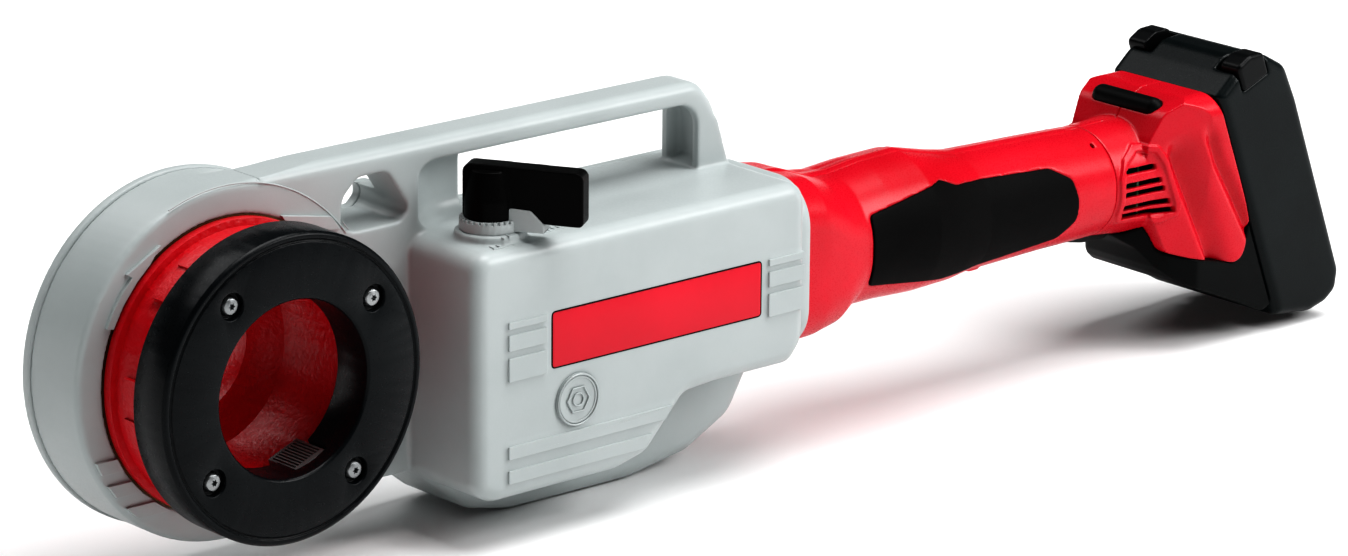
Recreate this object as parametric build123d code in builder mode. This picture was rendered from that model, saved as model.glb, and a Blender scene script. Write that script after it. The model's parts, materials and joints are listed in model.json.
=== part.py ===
from build123d import *
from math import acos, atan2, cos, degrees, hypot, pi, radians, sin, sqrt, tan
import os

# Cordless hand-held pipe threading machine, millimetres.
# X runs from the threading head to the battery, Y from the front face to the back, Z up.
# The origin is where the head's bore axis (along Y) meets the middle plane of the gearbox.

os.makedirs("parts", exist_ok=True)

# ---------------------------------------------------------------- driving dimensions
CASE_FRONT = -46.0          # front face of the gearbox and of the die-head flange
CASE_BACK = 46.0            # back face of the rear cover
HEAD_FACE = 4.0             # front face of the ring housing, web and handle
COVER_JOINT = 40.0          # where the rear cover meets the case
CASE_TOP = 41.5
WALL = 4.5

HOUSING_R = 84.0            # ring housing, outside
HOUSING_CAVITY_R = 77.0
HEAD_OPENING_R = 70.2       # opening in the ring housing's front wall
FLANGE_R = 72.9
FLANGE_BACK = -23.2
DIE_BORE_R = 41.65          # bore that takes the die head
SCREW_CIRCLE_R = 57.0
SCREW_ANGLES = (37, 127, 217, 307)

MOTOR_Z = -10.0             # height of the motor axis and of both gear shafts
PRESSURE_ANGLE = 25.0
SPUR_MODULE = 1.5
RING_TEETH = 98
IDLER_TEETH = 62
PINION_TEETH = 12
BEVEL_MODULE = 1.8
BEVEL_GEAR_TEETH = 40
BEVEL_PINION_TEETH = 12
PLANET_MODULE = 0.8
SUN_TEETH = 12
PLANET_TEETH = 24
ANNULUS_TEETH = 60
RUNNING_FIT = 0.05          # radial clearance of every shaft in its bearing

HANDLE_TOP = 85.5
HANDLE_UNDERSIDE = 75.2
HANDLE_BACK = 26.0
WINDOW_RIGHT = 285.0

KNOB_X, KNOB_Y = 134.0, -21.0
KNOB_HEADING = -55.0        # direction of the wing, from +X towards the front

MOTOR_START = 313.0         # end face of the gearbox, where the motor housing starts
TAIL_START = 545.0          # seam between the barrel and the tail
SHELL = 3.0
BATTERY_TILT = 21.7         # the battery plane leans back by this much
SEAT_X, SEAT_Z = 609.0, 30.0  # top of the battery plane
BATTERY_HALF_WIDTH = 40.0

# ---------------------------------------------------------------- derived places
RING_R = SPUR_MODULE * RING_TEETH / 2
IDLER_R = SPUR_MODULE * IDLER_TEETH / 2
PINION_R = SPUR_MODULE * PINION_TEETH / 2
IDLER_X = sqrt((RING_R + IDLER_R) ** 2 - MOTOR_Z**2)
CROSS_X = IDLER_X + IDLER_R + PINION_R
BEVEL_GEAR_R = BEVEL_MODULE * BEVEL_GEAR_TEETH / 2
BEVEL_PINION_R = BEVEL_MODULE * BEVEL_PINION_TEETH / 2
PLANET_ORBIT_R = PLANET_MODULE * (SUN_TEETH + PLANET_TEETH) / 2


def section(y):
    """A plane across Y at this y: sketch x is X, sketch y is Z, extrusion runs forward (-Y)."""
    return Plane.XZ.offset(-y)


def across(x):
    """A plane across X at this x: sketch x is Y, sketch y is Z, extrusion runs to +X."""
    return Plane.YZ.offset(x)


def polar(radius, angle):
    return (radius * cos(radians(angle)), radius * sin(radians(angle)))


def seat_point(out, up):
    """A point in the XZ plane, measured out of and up along the battery plane."""
    s, c = sin(radians(BATTERY_TILT)), cos(radians(BATTERY_TILT))
    return (SEAT_X + out * c - up * s, SEAT_Z + out * s + up * c)


def involute(angle):
    return tan(angle) - angle


def tooth_half_angle(radius, pitch_radius, teeth, fullness):
    """Half the angle of an involute tooth at a radius, in radians."""
    alpha = radians(PRESSURE_ANGLE)
    base = pitch_radius * cos(alpha)
    at = acos(min(1.0, base / radius))
    return fullness * pi / teeth + involute(alpha) - involute(at)


def gear_outline(teeth, module, phase, fullness=0.42, addendum=0.9, dedendum=1.1):
    """Corner points of a spur gear whose first tooth is centred at the phase, in degrees."""
    pitch_radius = module * teeth / 2
    root = pitch_radius - dedendum * module
    tip = pitch_radius + addendum * module
    points = []
    for tooth in range(teeth):
        centre = radians(phase) + 2 * pi * tooth / teeth
        corners = [(root, -1), (pitch_radius, -1), (tip, -1), (tip, 1), (pitch_radius, 1), (root, 1)]
        for radius, side in corners:
            half = tooth_half_angle(radius, pitch_radius, teeth, fullness)
            angle = centre + side * half
            points.append((radius * cos(angle), radius * sin(angle)))
    return points


def meshing_phase(phase, teeth, next_teeth, direction):
    """Phase of an outside gear that meshes with one of this phase, seen in this direction."""
    offset = (phase - direction) % (360 / teeth)
    gap = direction + 180 - offset * teeth / next_teeth
    return gap + 180 / next_teeth


def bevel_gear_solid(teeth, mate_teeth, module, face_width, back_depth, phase, bore=0.0, fullness=0.40):
    """A bevel gear with its apex at the origin and its large end towards +Z."""
    pitch_radius = module * teeth / 2
    height = module * mate_teeth / 2
    cone = hypot(pitch_radius, height)
    lean_sin, lean_cos = pitch_radius / cone, height / cone
    virtual_radius = pitch_radius / lean_cos
    shrink = (cone - face_width) / cone
    addendum, dedendum, sink = 0.85 * module, 1.1 * module, 0.3
    outer_root = (cone * lean_sin - dedendum * lean_cos, cone * lean_cos + dedendum * lean_sin)
    inner_root = (outer_root[0] * shrink, outer_root[1] * shrink)
    back = outer_root[1] + back_depth
    heights = [-(dedendum + sink), 0.0, addendum]
    widths = []
    for height_above in heights:
        radius = virtual_radius + height_above
        widths.append(radius * sin(tooth_half_angle(radius, virtual_radius, teeth / lean_cos, fullness)))
    with BuildPart() as tooth:
        for scale in (1.0, shrink):
            origin = (cone * scale * lean_sin, 0, cone * scale * lean_cos)
            with BuildSketch(Plane(origin=origin, x_dir=(0, 1, 0), z_dir=(-lean_sin, 0, -lean_cos))):
                left = [(-w * scale, h * scale) for w, h in zip(widths, heights)]
                right = [(w * scale, h * scale) for w, h in zip(widths, heights)]
                Polygon(*left, *reversed(right))
        loft(ruled=True)
    with BuildPart() as gear:
        with BuildSketch(Plane.XZ):
            with BuildLine():
                Polyline(
                    (bore, inner_root[1]),
                    inner_root,
                    outer_root,
                    (outer_root[0], back),
                    (bore, back),
                    close=True,
                )
            make_face()
        revolve(axis=Axis.Z)
        with PolarLocations(0, teeth, start_angle=phase):
            add(tooth.part)
    return gear.part


def coil(radius, wire, height, turns):
    """A compression spring standing on the XY plane."""
    with BuildPart() as spring:
        with BuildLine():
            path = Helix(pitch=height / turns, height=height, radius=radius)
        with BuildSketch(Plane(origin=path @ 0, z_dir=path % 0)):
            Circle(wire)
        sweep(is_frenet=True)
    return spring.part


# ---------------------------------------------------------------- gear case
FRONT_OUTLINE = [
    (105, 41.5), (105, -74), (117, -80.5), (193, -80.5), (212, -76), (236, -51), (256, -49.5),
    (304, -49.5), (313, -39), (313, 41.5),
]
FRONT_RADII = [10, 10, 10, 12, 12, 10, 10, 8, 14, 10]
BACK_OUTLINE = [
    (105, 41.5), (105, -74), (135, -98), (160, -103.5), (235, -104), (272, -98), (300, -84),
    (313, -62), (313, 41.5),
]
BACK_RADII = [10, 10, 12, 14, 18, 18, 18, 16, 10]
BULGE_FRONT = -8.0
COVER_BOSSES = [(113.5, -65), (154, -94), (240, -95), (303, 32), (182, 33)]
RING_SCREW_ANGLES = (60, 105, 150, 195, 240, 285)
RING_SCREW_R = 80.5
FRONT_RIB_ROWS = [(3.8, 7.2), (-6.8, 0.9), (-21.7, -10.2)]
LONG_RIBS = [(225.7, 220.1, -53.3, -59.7), (212.5, 208.2, -65.1, -71.6)]
RIB_HEIGHT = 0.8
LABEL_SIZE = (131.0, 26.9)
LABEL_CENTRE = (216.5, -6.75)
MEDALLION_CENTRE = (166.0, -38.5)
WEB_HOLE = [(65.5, 52), (67, 66), (76, 74.6), (93, 74.6), (106.5, 55), (101, 49), (74, 49)]
WEB_HOLE_RADII = [5, 9, 8, 7, 5, 5, 5]

# deeper back half of the gearbox
with BuildPart() as back_half:
    with BuildSketch(section(COVER_JOINT)):
        with BuildLine():
            FilletPolyline(*BACK_OUTLINE, radius=BACK_RADII, close=True)
        make_face()
    extrude(amount=COVER_JOINT - BULGE_FRONT)
    fillet(back_half.faces().sort_by(Axis.Y)[0].edges(), radius=9)
# handle bar, up to its right post
with BuildPart() as bar:
    with BuildSketch(section(HANDLE_BACK)):
        with BuildLine():
            FilletPolyline(
                (20, HANDLE_TOP), (287, HANDLE_TOP), (297.5, 72), (307.5, 36), (WINDOW_RIGHT, 36),
                (WINDOW_RIGHT, HANDLE_UNDERSIDE), (20, HANDLE_UNDERSIDE),
                radius=[0, 13, 30, 0, 0, 12, 0], close=True,
            )
        make_face()
    extrude(amount=HANDLE_BACK - HEAD_FACE)
    fillet(bar.edges().filter_by(Axis.X).group_by(Axis.Z)[-1].sort_by(Axis.Y)[0], radius=6)
# hollow round the knob
with BuildPart() as scoop:
    with Locations((146, -16, CASE_TOP)):
        Cylinder(40, HANDLE_UNDERSIDE - CASE_TOP, align=(Align.CENTER, Align.CENTER, Align.MIN))
    fillet(scoop.edges().filter_by(GeomType.CIRCLE), radius=9)
with BuildPart() as scoop_limit:
    with Locations((152, -10, CASE_TOP)):
        Box(90, 80, 60, align=(Align.CENTER, Align.CENTER, Align.MIN))
with BuildPart() as gear_case:
    # gearbox, front half, with its soft front edges
    with BuildSketch(section(0)):
        with BuildLine():
            FilletPolyline(*FRONT_OUTLINE, radius=FRONT_RADII, close=True)
        make_face()
    extrude(amount=-CASE_FRONT)
    fillet(gear_case.faces().sort_by(Axis.Y)[0].edges(), radius=7.5)
    add(back_half.part)
    # ring housing and the bridge to the gearbox
    with BuildSketch(section(COVER_JOINT)):
        Circle(HOUSING_R)
        with BuildLine():
            Polyline((38, -74), (112, -74), (112, 60), (38, 60), close=True)
        make_face()
    extrude(amount=COVER_JOINT - HEAD_FACE)
    # web between ring housing, handle and gearbox top
    with BuildSketch(section(HANDLE_BACK + 1)):
        with BuildLine():
            Polyline((2, 50), (2, HANDLE_TOP - 6), (160, HANDLE_TOP - 6), (160, 38), (40, 38), close=True)
        make_face()
    extrude(amount=HANDLE_BACK + 1 - HEAD_FACE)
    # handle bar and its right post
    add(bar.part)
    with BuildSketch(section(31)):
        with BuildLine():
            FilletPolyline(
                (WINDOW_RIGHT, 36), (WINDOW_RIGHT, 70), (292, 70), (298, 66), (307.5, 36),
                radius=[0, 4, 4, 8, 0], close=True,
            )
        make_face()
    extrude(amount=31 - HEAD_FACE)
    # window under the handle, with its scooped left end round the knob
    with BuildSketch(section(CASE_BACK)):
        with BuildLine():
            FilletPolyline(
                (152, CASE_TOP), (WINDOW_RIGHT, CASE_TOP), (WINDOW_RIGHT, HANDLE_UNDERSIDE),
                (152, HANDLE_UNDERSIDE), radius=[0, 6, 12, 0], close=True,
            )
        make_face()
    extrude(amount=CASE_BACK + 50, mode=Mode.SUBTRACT)
    add(scoop.part & scoop_limit.part, mode=Mode.SUBTRACT)
    # small hole through the web
    with BuildSketch(section(CASE_BACK)):
        with BuildLine():
            FilletPolyline(*WEB_HOLE, radius=WEB_HOLE_RADII, close=True)
        make_face()
    extrude(amount=CASE_BACK, mode=Mode.SUBTRACT)
    # seat of the direction knob
    with Locations((KNOB_X, KNOB_Y, CASE_TOP - 1)):
        Cylinder(17, 5.3, align=(Align.CENTER, Align.CENTER, Align.MIN))
    # cavities: gearbox, ring chamber, idler passage
    with BuildSketch(section(COVER_JOINT)):
        with BuildLine():
            FilletPolyline(*FRONT_OUTLINE, radius=FRONT_RADII, close=True)
        make_face()
        offset(amount=-WALL, kind=Kind.INTERSECTION, mode=Mode.REPLACE)
    extrude(amount=COVER_JOINT - CASE_FRONT - WALL, mode=Mode.SUBTRACT)
    with BuildSketch(section(COVER_JOINT)):
        with BuildLine():
            FilletPolyline(*BACK_OUTLINE, radius=BACK_RADII, close=True)
        make_face()
        offset(amount=-WALL, kind=Kind.INTERSECTION, mode=Mode.REPLACE)
    extrude(amount=COVER_JOINT - BULGE_FRONT - WALL - 2, mode=Mode.SUBTRACT)
    with BuildSketch(section(COVER_JOINT)):
        Circle(HOUSING_CAVITY_R)
        with Locations((IDLER_X, MOTOR_Z)):
            Circle(50)
    extrude(amount=COVER_JOINT - 10, mode=Mode.SUBTRACT)
    with BuildSketch(section(COVER_JOINT)):
        Circle(HEAD_OPENING_R)
    extrude(amount=COVER_JOINT, mode=Mode.SUBTRACT)
    # screw bosses of the rear cover and the bearing towers of the two shafts
    with BuildSketch(section(COVER_JOINT)):
        with Locations(*COVER_BOSSES):
            Circle(6)
    extrude(amount=22)
    with BuildSketch(section(-30)):
        with Locations((CROSS_X, MOTOR_Z)):
            Circle(15)
    extrude(amount=-30 - CASE_FRONT - 2)
    with BuildSketch(section(-28)):
        with Locations((CROSS_X, MOTOR_Z)):
            Circle(11)
    extrude(amount=8, mode=Mode.SUBTRACT)
    with BuildSketch(across(232)):
        with Locations((0, MOTOR_Z)):
            Rectangle(44, 44)
            Circle(12, mode=Mode.SUBTRACT)
    extrude(amount=12)
    with BuildSketch(across(232)):
        with Locations((0, MOTOR_Z + 34.5)):
            Rectangle(8, 25)
    extrude(amount=12)
    with BuildSketch(across(300)):
        with Locations((0, MOTOR_Z)):
            Circle(17.5)
    extrude(amount=20, mode=Mode.SUBTRACT)
    # idler pin hole in the front wall, knob shaft hole and detent pocket
    with BuildSketch(section(11.5)):
        with Locations((IDLER_X - 1.5, MOTOR_Z)):
            Rectangle(26, 26)
    extrude(amount=6.5)
    with BuildSketch(section(12)):
        with Locations((IDLER_X, MOTOR_Z)):
            Circle(6)
    extrude(amount=6.5, mode=Mode.SUBTRACT)
    with Locations((KNOB_X, KNOB_Y, 30)):
        Cylinder(4 + RUNNING_FIT, 40, mode=Mode.SUBTRACT)
    with Locations((KNOB_X - 11, KNOB_Y, 39.4)):
        Cylinder(2.5, 10, align=(Align.CENTER, Align.CENTER, Align.MIN), mode=Mode.SUBTRACT)
    # raised ribs and the recesses of the two plates on the front face
    with BuildSketch(section(CASE_FRONT + 1)):
        for low, high in FRONT_RIB_ROWS:
            with Locations((135, (low + high) / 2), (298, (low + high) / 2)):
                RectangleRounded(23, high - low, 0.8)
        for top_right, bottom_right, high, low in LONG_RIBS:
            with BuildLine():
                Polyline((123.4, high), (top_right, high), (bottom_right, low), (123.4, low), close=True)
            make_face()
    extrude(amount=1 + RIB_HEIGHT)
    with BuildSketch(section(CASE_FRONT + 1)):
        with Locations(LABEL_CENTRE):
            RectangleRounded(*LABEL_SIZE, 1.5)
        with Locations(MEDALLION_CENTRE):
            Circle(13)
    extrude(amount=3, mode=Mode.SUBTRACT)
    # raised direction arrow and ribs on the ring housing's face
    with BuildSketch(section(HEAD_FACE + 1)):
        with BuildLine():
            Polyline(
                polar(72.5, 137), polar(82.5, 149), polar(80.6, 149.6), polar(81, 167), polar(77.5, 167.5),
                polar(77.2, 150.8), polar(75.5, 151.5), close=True,
            )
        make_face()
        for angle in (212, 221, 230):
            with Locations(Location(polar(76.5, angle), angle + 12)):
                RectangleRounded(11, 6, 0.8)
    extrude(amount=1 + RIB_HEIGHT)
    # screw holes of the cover
    with BuildSketch(section(COVER_JOINT)):
        with Locations(*COVER_BOSSES):
            Circle(1.95)
        with Locations(*[polar(RING_SCREW_R, angle) for angle in RING_SCREW_ANGLES]):
            Circle(1.95)
    extrude(amount=14, mode=Mode.SUBTRACT)
    fillet(
        gear_case.edges().filter_by(GeomType.CIRCLE).filter_by(lambda e: abs(e.radius - HOUSING_R) < 0.01)
        .filter_by(lambda e: abs(e.center().Y - HEAD_FACE) < 0.5),
        radius=2.5,
    )
gear_case.part.label = "gear_case"
export_step(gear_case.part, "parts/gear_case.step")

# ---------------------------------------------------------------- rear cover and its screws
COVER_COUNTERBORE = 3.2
with BuildPart() as rear_cover:
    with BuildSketch(section(CASE_BACK)):
        Circle(HOUSING_R + 1)
        with BuildLine():
            Polyline((38, -74), (112, -74), (112, 60), (38, 60), close=True)
        make_face()
        with BuildLine():
            FilletPolyline(*BACK_OUTLINE, radius=BACK_RADII, close=True)
        make_face()
    extrude(amount=CASE_BACK - COVER_JOINT)
    fillet(rear_cover.faces().sort_by(Axis.Y)[-1].edges(), radius=2)
    with BuildSketch(section(CASE_BACK)):
        Circle(64)
        with BuildLine():
            FilletPolyline(*WEB_HOLE, radius=WEB_HOLE_RADII, close=True)
        make_face()
    extrude(amount=10, mode=Mode.SUBTRACT)
    with BuildSketch(section(COVER_JOINT + 4)):
        with Locations((CROSS_X, MOTOR_Z)):
            Circle(11)
        with Locations((IDLER_X, MOTOR_Z)):
            Circle(6)
    extrude(amount=4, mode=Mode.SUBTRACT)
    screw_places = COVER_BOSSES + [polar(RING_SCREW_R, angle) for angle in RING_SCREW_ANGLES]
    with BuildSketch(section(CASE_BACK)):
        with Locations(*screw_places):
            Circle(2.1)
    extrude(amount=10, mode=Mode.SUBTRACT)
    with BuildSketch(section(CASE_BACK)):
        with Locations(*screw_places):
            Circle(3.4)
    extrude(amount=COVER_COUNTERBORE, mode=Mode.SUBTRACT)
rear_cover.part.label = "rear_cover"
export_step(rear_cover.part, "parts/rear_cover.step")

with BuildPart() as cover_screws:
    with BuildSketch(section(CASE_BACK - 0.2)):
        with Locations(*screw_places):
            Circle(3.3)
    extrude(amount=COVER_COUNTERBORE - 0.2)
    with BuildSketch(section(CASE_BACK - COVER_COUNTERBORE)):
        with Locations(*screw_places):
            Circle(1.9)
    extrude(amount=15)
    with BuildSketch(section(CASE_BACK - 0.2)):
        with Locations(*screw_places):
            RegularPolygon(1.7, 6)
    extrude(amount=1.8, mode=Mode.SUBTRACT)
cover_screws.part.label = "cover_screws"
export_step(cover_screws.part, "parts/cover_screws.step")

# ---------------------------------------------------------------- plates on the front face
with BuildPart() as label_plate:
    with BuildSketch(section(CASE_FRONT + 1)):
        with Locations(LABEL_CENTRE):
            RectangleRounded(LABEL_SIZE[0] - 0.2, LABEL_SIZE[1] - 0.2, 1.4)
    extrude(amount=1.1)
label_plate.part.label = "label_plate"
export_step(label_plate.part, "parts/label_plate.step")

with BuildPart() as medallion:
    with BuildSketch(section(CASE_FRONT + 1)):
        with Locations(MEDALLION_CENTRE):
            Circle(12.9)
    extrude(amount=1.6)
    with BuildSketch(section(CASE_FRONT - 0.6)):
        with Locations(MEDALLION_CENTRE):
            Circle(11.4)
            Circle(10.6, mode=Mode.SUBTRACT)
    extrude(amount=0.5)
medallion.part.label = "medallion"
export_step(medallion.part, "parts/medallion.step")

# ---------------------------------------------------------------- drive ring, flange and latch
RING_BORE_R = 46.0
RING_BODY_R = 66.0
RING_LIP_R = 69.5
RING_NECK_R = 33.0
RING_TAIL_R = 60.0
RING_PHASE = degrees(atan2(MOTOR_Z, IDLER_X))
GEAR_FRONT, GEAR_BACK = 12.0, 32.0
LATCH_ANGLE = -68.0
LATCH_WIDTH = 18.0
LATCH_FRONT, LATCH_BACK = -37.0, -15.0
LATCH_TOP_R = 42.0
LATCH_THICKNESS = 10.0
LATCH_SPRING_R = 52.5

with BuildPart() as drive_ring:
    with BuildSketch(Plane.XY):
        with BuildLine():
            Polyline(
                (RING_BORE_R, FLANGE_BACK), (RING_BODY_R, FLANGE_BACK), (RING_BODY_R, -1.3),
                (RING_LIP_R, -1.3), (RING_LIP_R, 3.6), (RING_BODY_R, 3.6), (RING_BODY_R, GEAR_FRONT),
                (71, GEAR_FRONT), (71, GEAR_BACK), (RING_TAIL_R, GEAR_BACK + 1.5), (RING_TAIL_R, CASE_BACK),
                (RING_NECK_R, CASE_BACK), (RING_NECK_R, 34), (RING_BORE_R, 22), close=True,
            )
        make_face()
    revolve(axis=Axis.Y)
    with BuildSketch(section(GEAR_BACK)):
        Polygon(*gear_outline(RING_TEETH, SPUR_MODULE, RING_PHASE))
        Circle(68, mode=Mode.SUBTRACT)
    extrude(amount=GEAR_BACK - GEAR_FRONT)
    # notches in the red band behind the flange
    with BuildSketch(section(FLANGE_BACK + 5)):
        for angle in range(20, 380, 60):
            with Locations(Location(polar(RING_BODY_R, angle), angle)):
                Rectangle(5, 9)
    extrude(amount=5, mode=Mode.SUBTRACT)
    # pocket of the latch and tapped holes for the flange screws
    with BuildSketch(section(LATCH_BACK + 0.3)):
        with Locations(Location(polar(49, LATCH_ANGLE), LATCH_ANGLE)):
            Rectangle(17, LATCH_WIDTH + 0.6)
    extrude(amount=LATCH_BACK + 0.3 - FLANGE_BACK, mode=Mode.SUBTRACT)
    with BuildSketch(section(FLANGE_BACK + 14)):
        with Locations(*[polar(SCREW_CIRCLE_R, angle) for angle in SCREW_ANGLES]):
            Circle(2.55)
    extrude(amount=14, mode=Mode.SUBTRACT)
drive_ring.part.label = "drive_ring"
export_step(drive_ring.part, "parts/drive_ring.step")

with BuildPart() as die_flange:
    with BuildSketch(section(FLANGE_BACK)):
        Circle(FLANGE_R)
        Circle(DIE_BORE_R, mode=Mode.SUBTRACT)
    extrude(amount=FLANGE_BACK - CASE_FRONT)
    front_edges = die_flange.faces().sort_by(Axis.Y)[0].edges()
    chamfer(front_edges.sort_by(SortBy.RADIUS)[-1], length=1.4)
    chamfer(front_edges.sort_by(SortBy.RADIUS)[0], length=1.2)
    with BuildSketch(section(CASE_FRONT + 0.8)):
        Circle(69.6)
        Circle(68.4, mode=Mode.SUBTRACT)
    extrude(amount=0.8, mode=Mode.SUBTRACT)
    with BuildSketch(section(CASE_FRONT + 4)):
        with Locations(*[polar(SCREW_CIRCLE_R, angle) for angle in SCREW_ANGLES]):
            Circle(6.4)
    extrude(amount=4, mode=Mode.SUBTRACT)
    with BuildSketch(section(FLANGE_BACK)):
        with Locations(*[polar(SCREW_CIRCLE_R, angle) for angle in SCREW_ANGLES]):
            Circle(2.7)
    extrude(amount=30, mode=Mode.SUBTRACT)
    with BuildSketch(section(FLANGE_BACK)):
        with Locations(Location(polar(49, LATCH_ANGLE), LATCH_ANGLE)):
            Rectangle(17, LATCH_WIDTH + 0.6)
    extrude(amount=FLANGE_BACK - LATCH_FRONT + 0.3, mode=Mode.SUBTRACT)
die_flange.part.label = "die_flange"
export_step(die_flange.part, "parts/die_flange.step")

with BuildPart() as flange_screw:
    with BuildSketch(Plane.XY):
        with BuildLine():
            Polyline((0, 0), (4.6, 0), (4.6, -1.6), (3.6, -3.1), (1.8, -3.7), (0, -3.8), close=True)
        make_face()
    revolve(axis=Axis.Y)
    with BuildSketch(section(0)):
        Circle(2.5)
    extrude(amount=-28)
    with BuildSketch(section(-4)):
        RegularPolygon(1.9, 3)
        RegularPolygon(1.9, 3, rotation=60)
    extrude(amount=-2.4, mode=Mode.SUBTRACT)
with BuildPart() as flange_screws:
    for angle in SCREW_ANGLES:
        place_x, place_z = polar(SCREW_CIRCLE_R, angle)
        with Locations((place_x, CASE_FRONT + 4, place_z)):
            add(flange_screw.part)
flange_screws.part.label = "flange_screws"
export_step(flange_screws.part, "parts/flange_screws.step")

with BuildPart() as latch:
    latch_plane = Plane(
        origin=(*polar(LATCH_TOP_R, LATCH_ANGLE)[:1], LATCH_FRONT, polar(LATCH_TOP_R, LATCH_ANGLE)[1]),
        x_dir=(0, 1, 0),
        z_dir=(cos(radians(LATCH_ANGLE)), 0, sin(radians(LATCH_ANGLE))),
    )
    with BuildSketch(latch_plane):
        with Locations(((LATCH_BACK - LATCH_FRONT) / 2, 0)):
            Rectangle(LATCH_BACK - LATCH_FRONT, LATCH_WIDTH)
    extrude(amount=LATCH_THICKNESS)
    with BuildSketch(latch_plane):
        for rib in range(9):
            with Locations((1 + (LATCH_BACK - LATCH_FRONT) / 2, (rib - 4) * 1.8)):
                Rectangle(LATCH_BACK - LATCH_FRONT - 5, 0.8)
    extrude(amount=1.0, mode=Mode.SUBTRACT)
latch.part.label = "latch"
export_step(latch.part, "parts/latch.step")

with BuildPart() as latch_spring:
    with Locations(Location(
        (
            polar(LATCH_SPRING_R, LATCH_ANGLE)[0],
            (LATCH_FRONT + LATCH_BACK) / 2,
            polar(LATCH_SPRING_R, LATCH_ANGLE)[1],
        ),
        (0, 90 - LATCH_ANGLE, 0),
    )):
        add(coil(3.0, 0.45, 4.2, 3))
latch_spring.part.label = "latch_spring"
export_step(latch_spring.part, "parts/latch_spring.step")

# ---------------------------------------------------------------- ring bushes
for name, inner, outer, front, back in (
    ("ring_bush_front", RING_BODY_R + RUNNING_FIT, HEAD_OPENING_R, 4.2, 10.0),
    ("ring_bush_rear", RING_TAIL_R + RUNNING_FIT, 64.0, 38.0, 45.8),
):
    with BuildPart() as bush:
        with BuildSketch(section(back)):
            Circle(outer)
            Circle(inner, mode=Mode.SUBTRACT)
        extrude(amount=back - front)
    bush.part.label = name
    export_step(bush.part, f"parts/{name}.step")

# ---------------------------------------------------------------- spur gears and cross shaft
IDLER_PHASE = meshing_phase(RING_PHASE, RING_TEETH, IDLER_TEETH, RING_PHASE)
PINION_PHASE = meshing_phase(IDLER_PHASE, IDLER_TEETH, PINION_TEETH, 0)
SHAFT_R = 6.0

with BuildPart() as idler_gear:
    with BuildSketch(section(GEAR_BACK + 0.5)):
        with Locations((IDLER_X, MOTOR_Z)):
            Polygon(*gear_outline(IDLER_TEETH, SPUR_MODULE, IDLER_PHASE))
            Circle(8, mode=Mode.SUBTRACT)
    extrude(amount=GEAR_BACK - GEAR_FRONT)
    with BuildSketch(section(GEAR_BACK + 0.5)):
        with Locations((IDLER_X, MOTOR_Z)):
            with PolarLocations(27, 6):
                Circle(8)
    extrude(amount=30, mode=Mode.SUBTRACT)
idler_gear.part.label = "idler_gear"
export_step(idler_gear.part, "parts/idler_gear.step")

with BuildPart() as idler_bush:
    with BuildSketch(section(GEAR_BACK + 1)):
        with Locations((IDLER_X, MOTOR_Z)):
            Circle(8)
            Circle(SHAFT_R + RUNNING_FIT, mode=Mode.SUBTRACT)
    extrude(amount=GEAR_BACK - GEAR_FRONT + 1)
idler_bush.part.label = "idler_bush"
export_step(idler_bush.part, "parts/idler_bush.step")

with BuildPart() as idler_pin:
    with BuildSketch(section(COVER_JOINT + 4)):
        with Locations((IDLER_X, MOTOR_Z)):
            Circle(SHAFT_R)
    extrude(amount=COVER_JOINT + 4 - 5.5)
idler_pin.part.label = "idler_pin"
export_step(idler_pin.part, "parts/idler_pin.step")

with BuildPart() as cross_shaft:
    with BuildSketch(section(COVER_JOINT + 3.8)):
        with Locations((CROSS_X, MOTOR_Z)):
            Circle(SHAFT_R)
    extrude(amount=COVER_JOINT + 3.8 + 35.8)
    with BuildSketch(section(GEAR_BACK)):
        with Locations((CROSS_X, MOTOR_Z)):
            Polygon(*gear_outline(PINION_TEETH, SPUR_MODULE, PINION_PHASE))
    extrude(amount=GEAR_BACK - GEAR_FRONT)
cross_shaft.part.label = "cross_shaft"
export_step(cross_shaft.part, "parts/cross_shaft.step")

apex = (CROSS_X, 0, MOTOR_Z)
with BuildPart(Plane(origin=apex, x_dir=(1, 0, 0), z_dir=(0, -1, 0))) as bevel_gear:
    add(bevel_gear_solid(BEVEL_GEAR_TEETH, BEVEL_PINION_TEETH, BEVEL_MODULE, 10, 6.5, 0, bore=SHAFT_R))
bevel_gear.part.label = "bevel_gear"
export_step(bevel_gear.part, "parts/bevel_gear.step")

BEARING_1 = (232.5, 240.5)
BEARING_2 = (304.5, 312.0)
CARRIER_FRONT, CARRIER_BACK = 321.0, 325.5
with BuildPart(Plane(origin=apex, x_dir=(0, -1, 0), z_dir=(1, 0, 0))) as bevel_pinion:
    half_tooth = 180 / BEVEL_PINION_TEETH
    add(bevel_gear_solid(BEVEL_PINION_TEETH, BEVEL_GEAR_TEETH, BEVEL_MODULE, 10, 4.5, half_tooth))
    with BuildSketch(across(214)):
        with Locations((0, MOTOR_Z)):
            Circle(SHAFT_R)
    extrude(amount=CARRIER_FRONT - 214)
bevel_pinion.part.label = "bevel_pinion"
export_step(bevel_pinion.part, "parts/bevel_pinion.step")


def ball_bearing(width, inner, outer, balls):
    """A ball bearing standing on the XY plane: two grooved rings with the balls between them."""
    third = (outer - inner) / 3
    middle = (inner + outer) / 2
    ball = third * 0.62
    with BuildPart() as bearing:
        with BuildSketch(Plane.XZ):
            with Locations((inner + third / 2, width / 2), (outer - third / 2, width / 2)):
                Rectangle(third, width)
            with Locations((middle, width / 2)):
                Circle(ball + 0.02, mode=Mode.SUBTRACT)
        revolve(axis=Axis.Z)
        with Locations((0, 0, width / 2)):
            with PolarLocations(middle, balls):
                Sphere(ball)
    return bearing.part


def bearing_place(x, y):
    """Where a bearing of the cross shaft stands, facing forward."""
    return Plane(origin=(x, y, MOTOR_Z), z_dir=(0, -1, 0)).location


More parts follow.
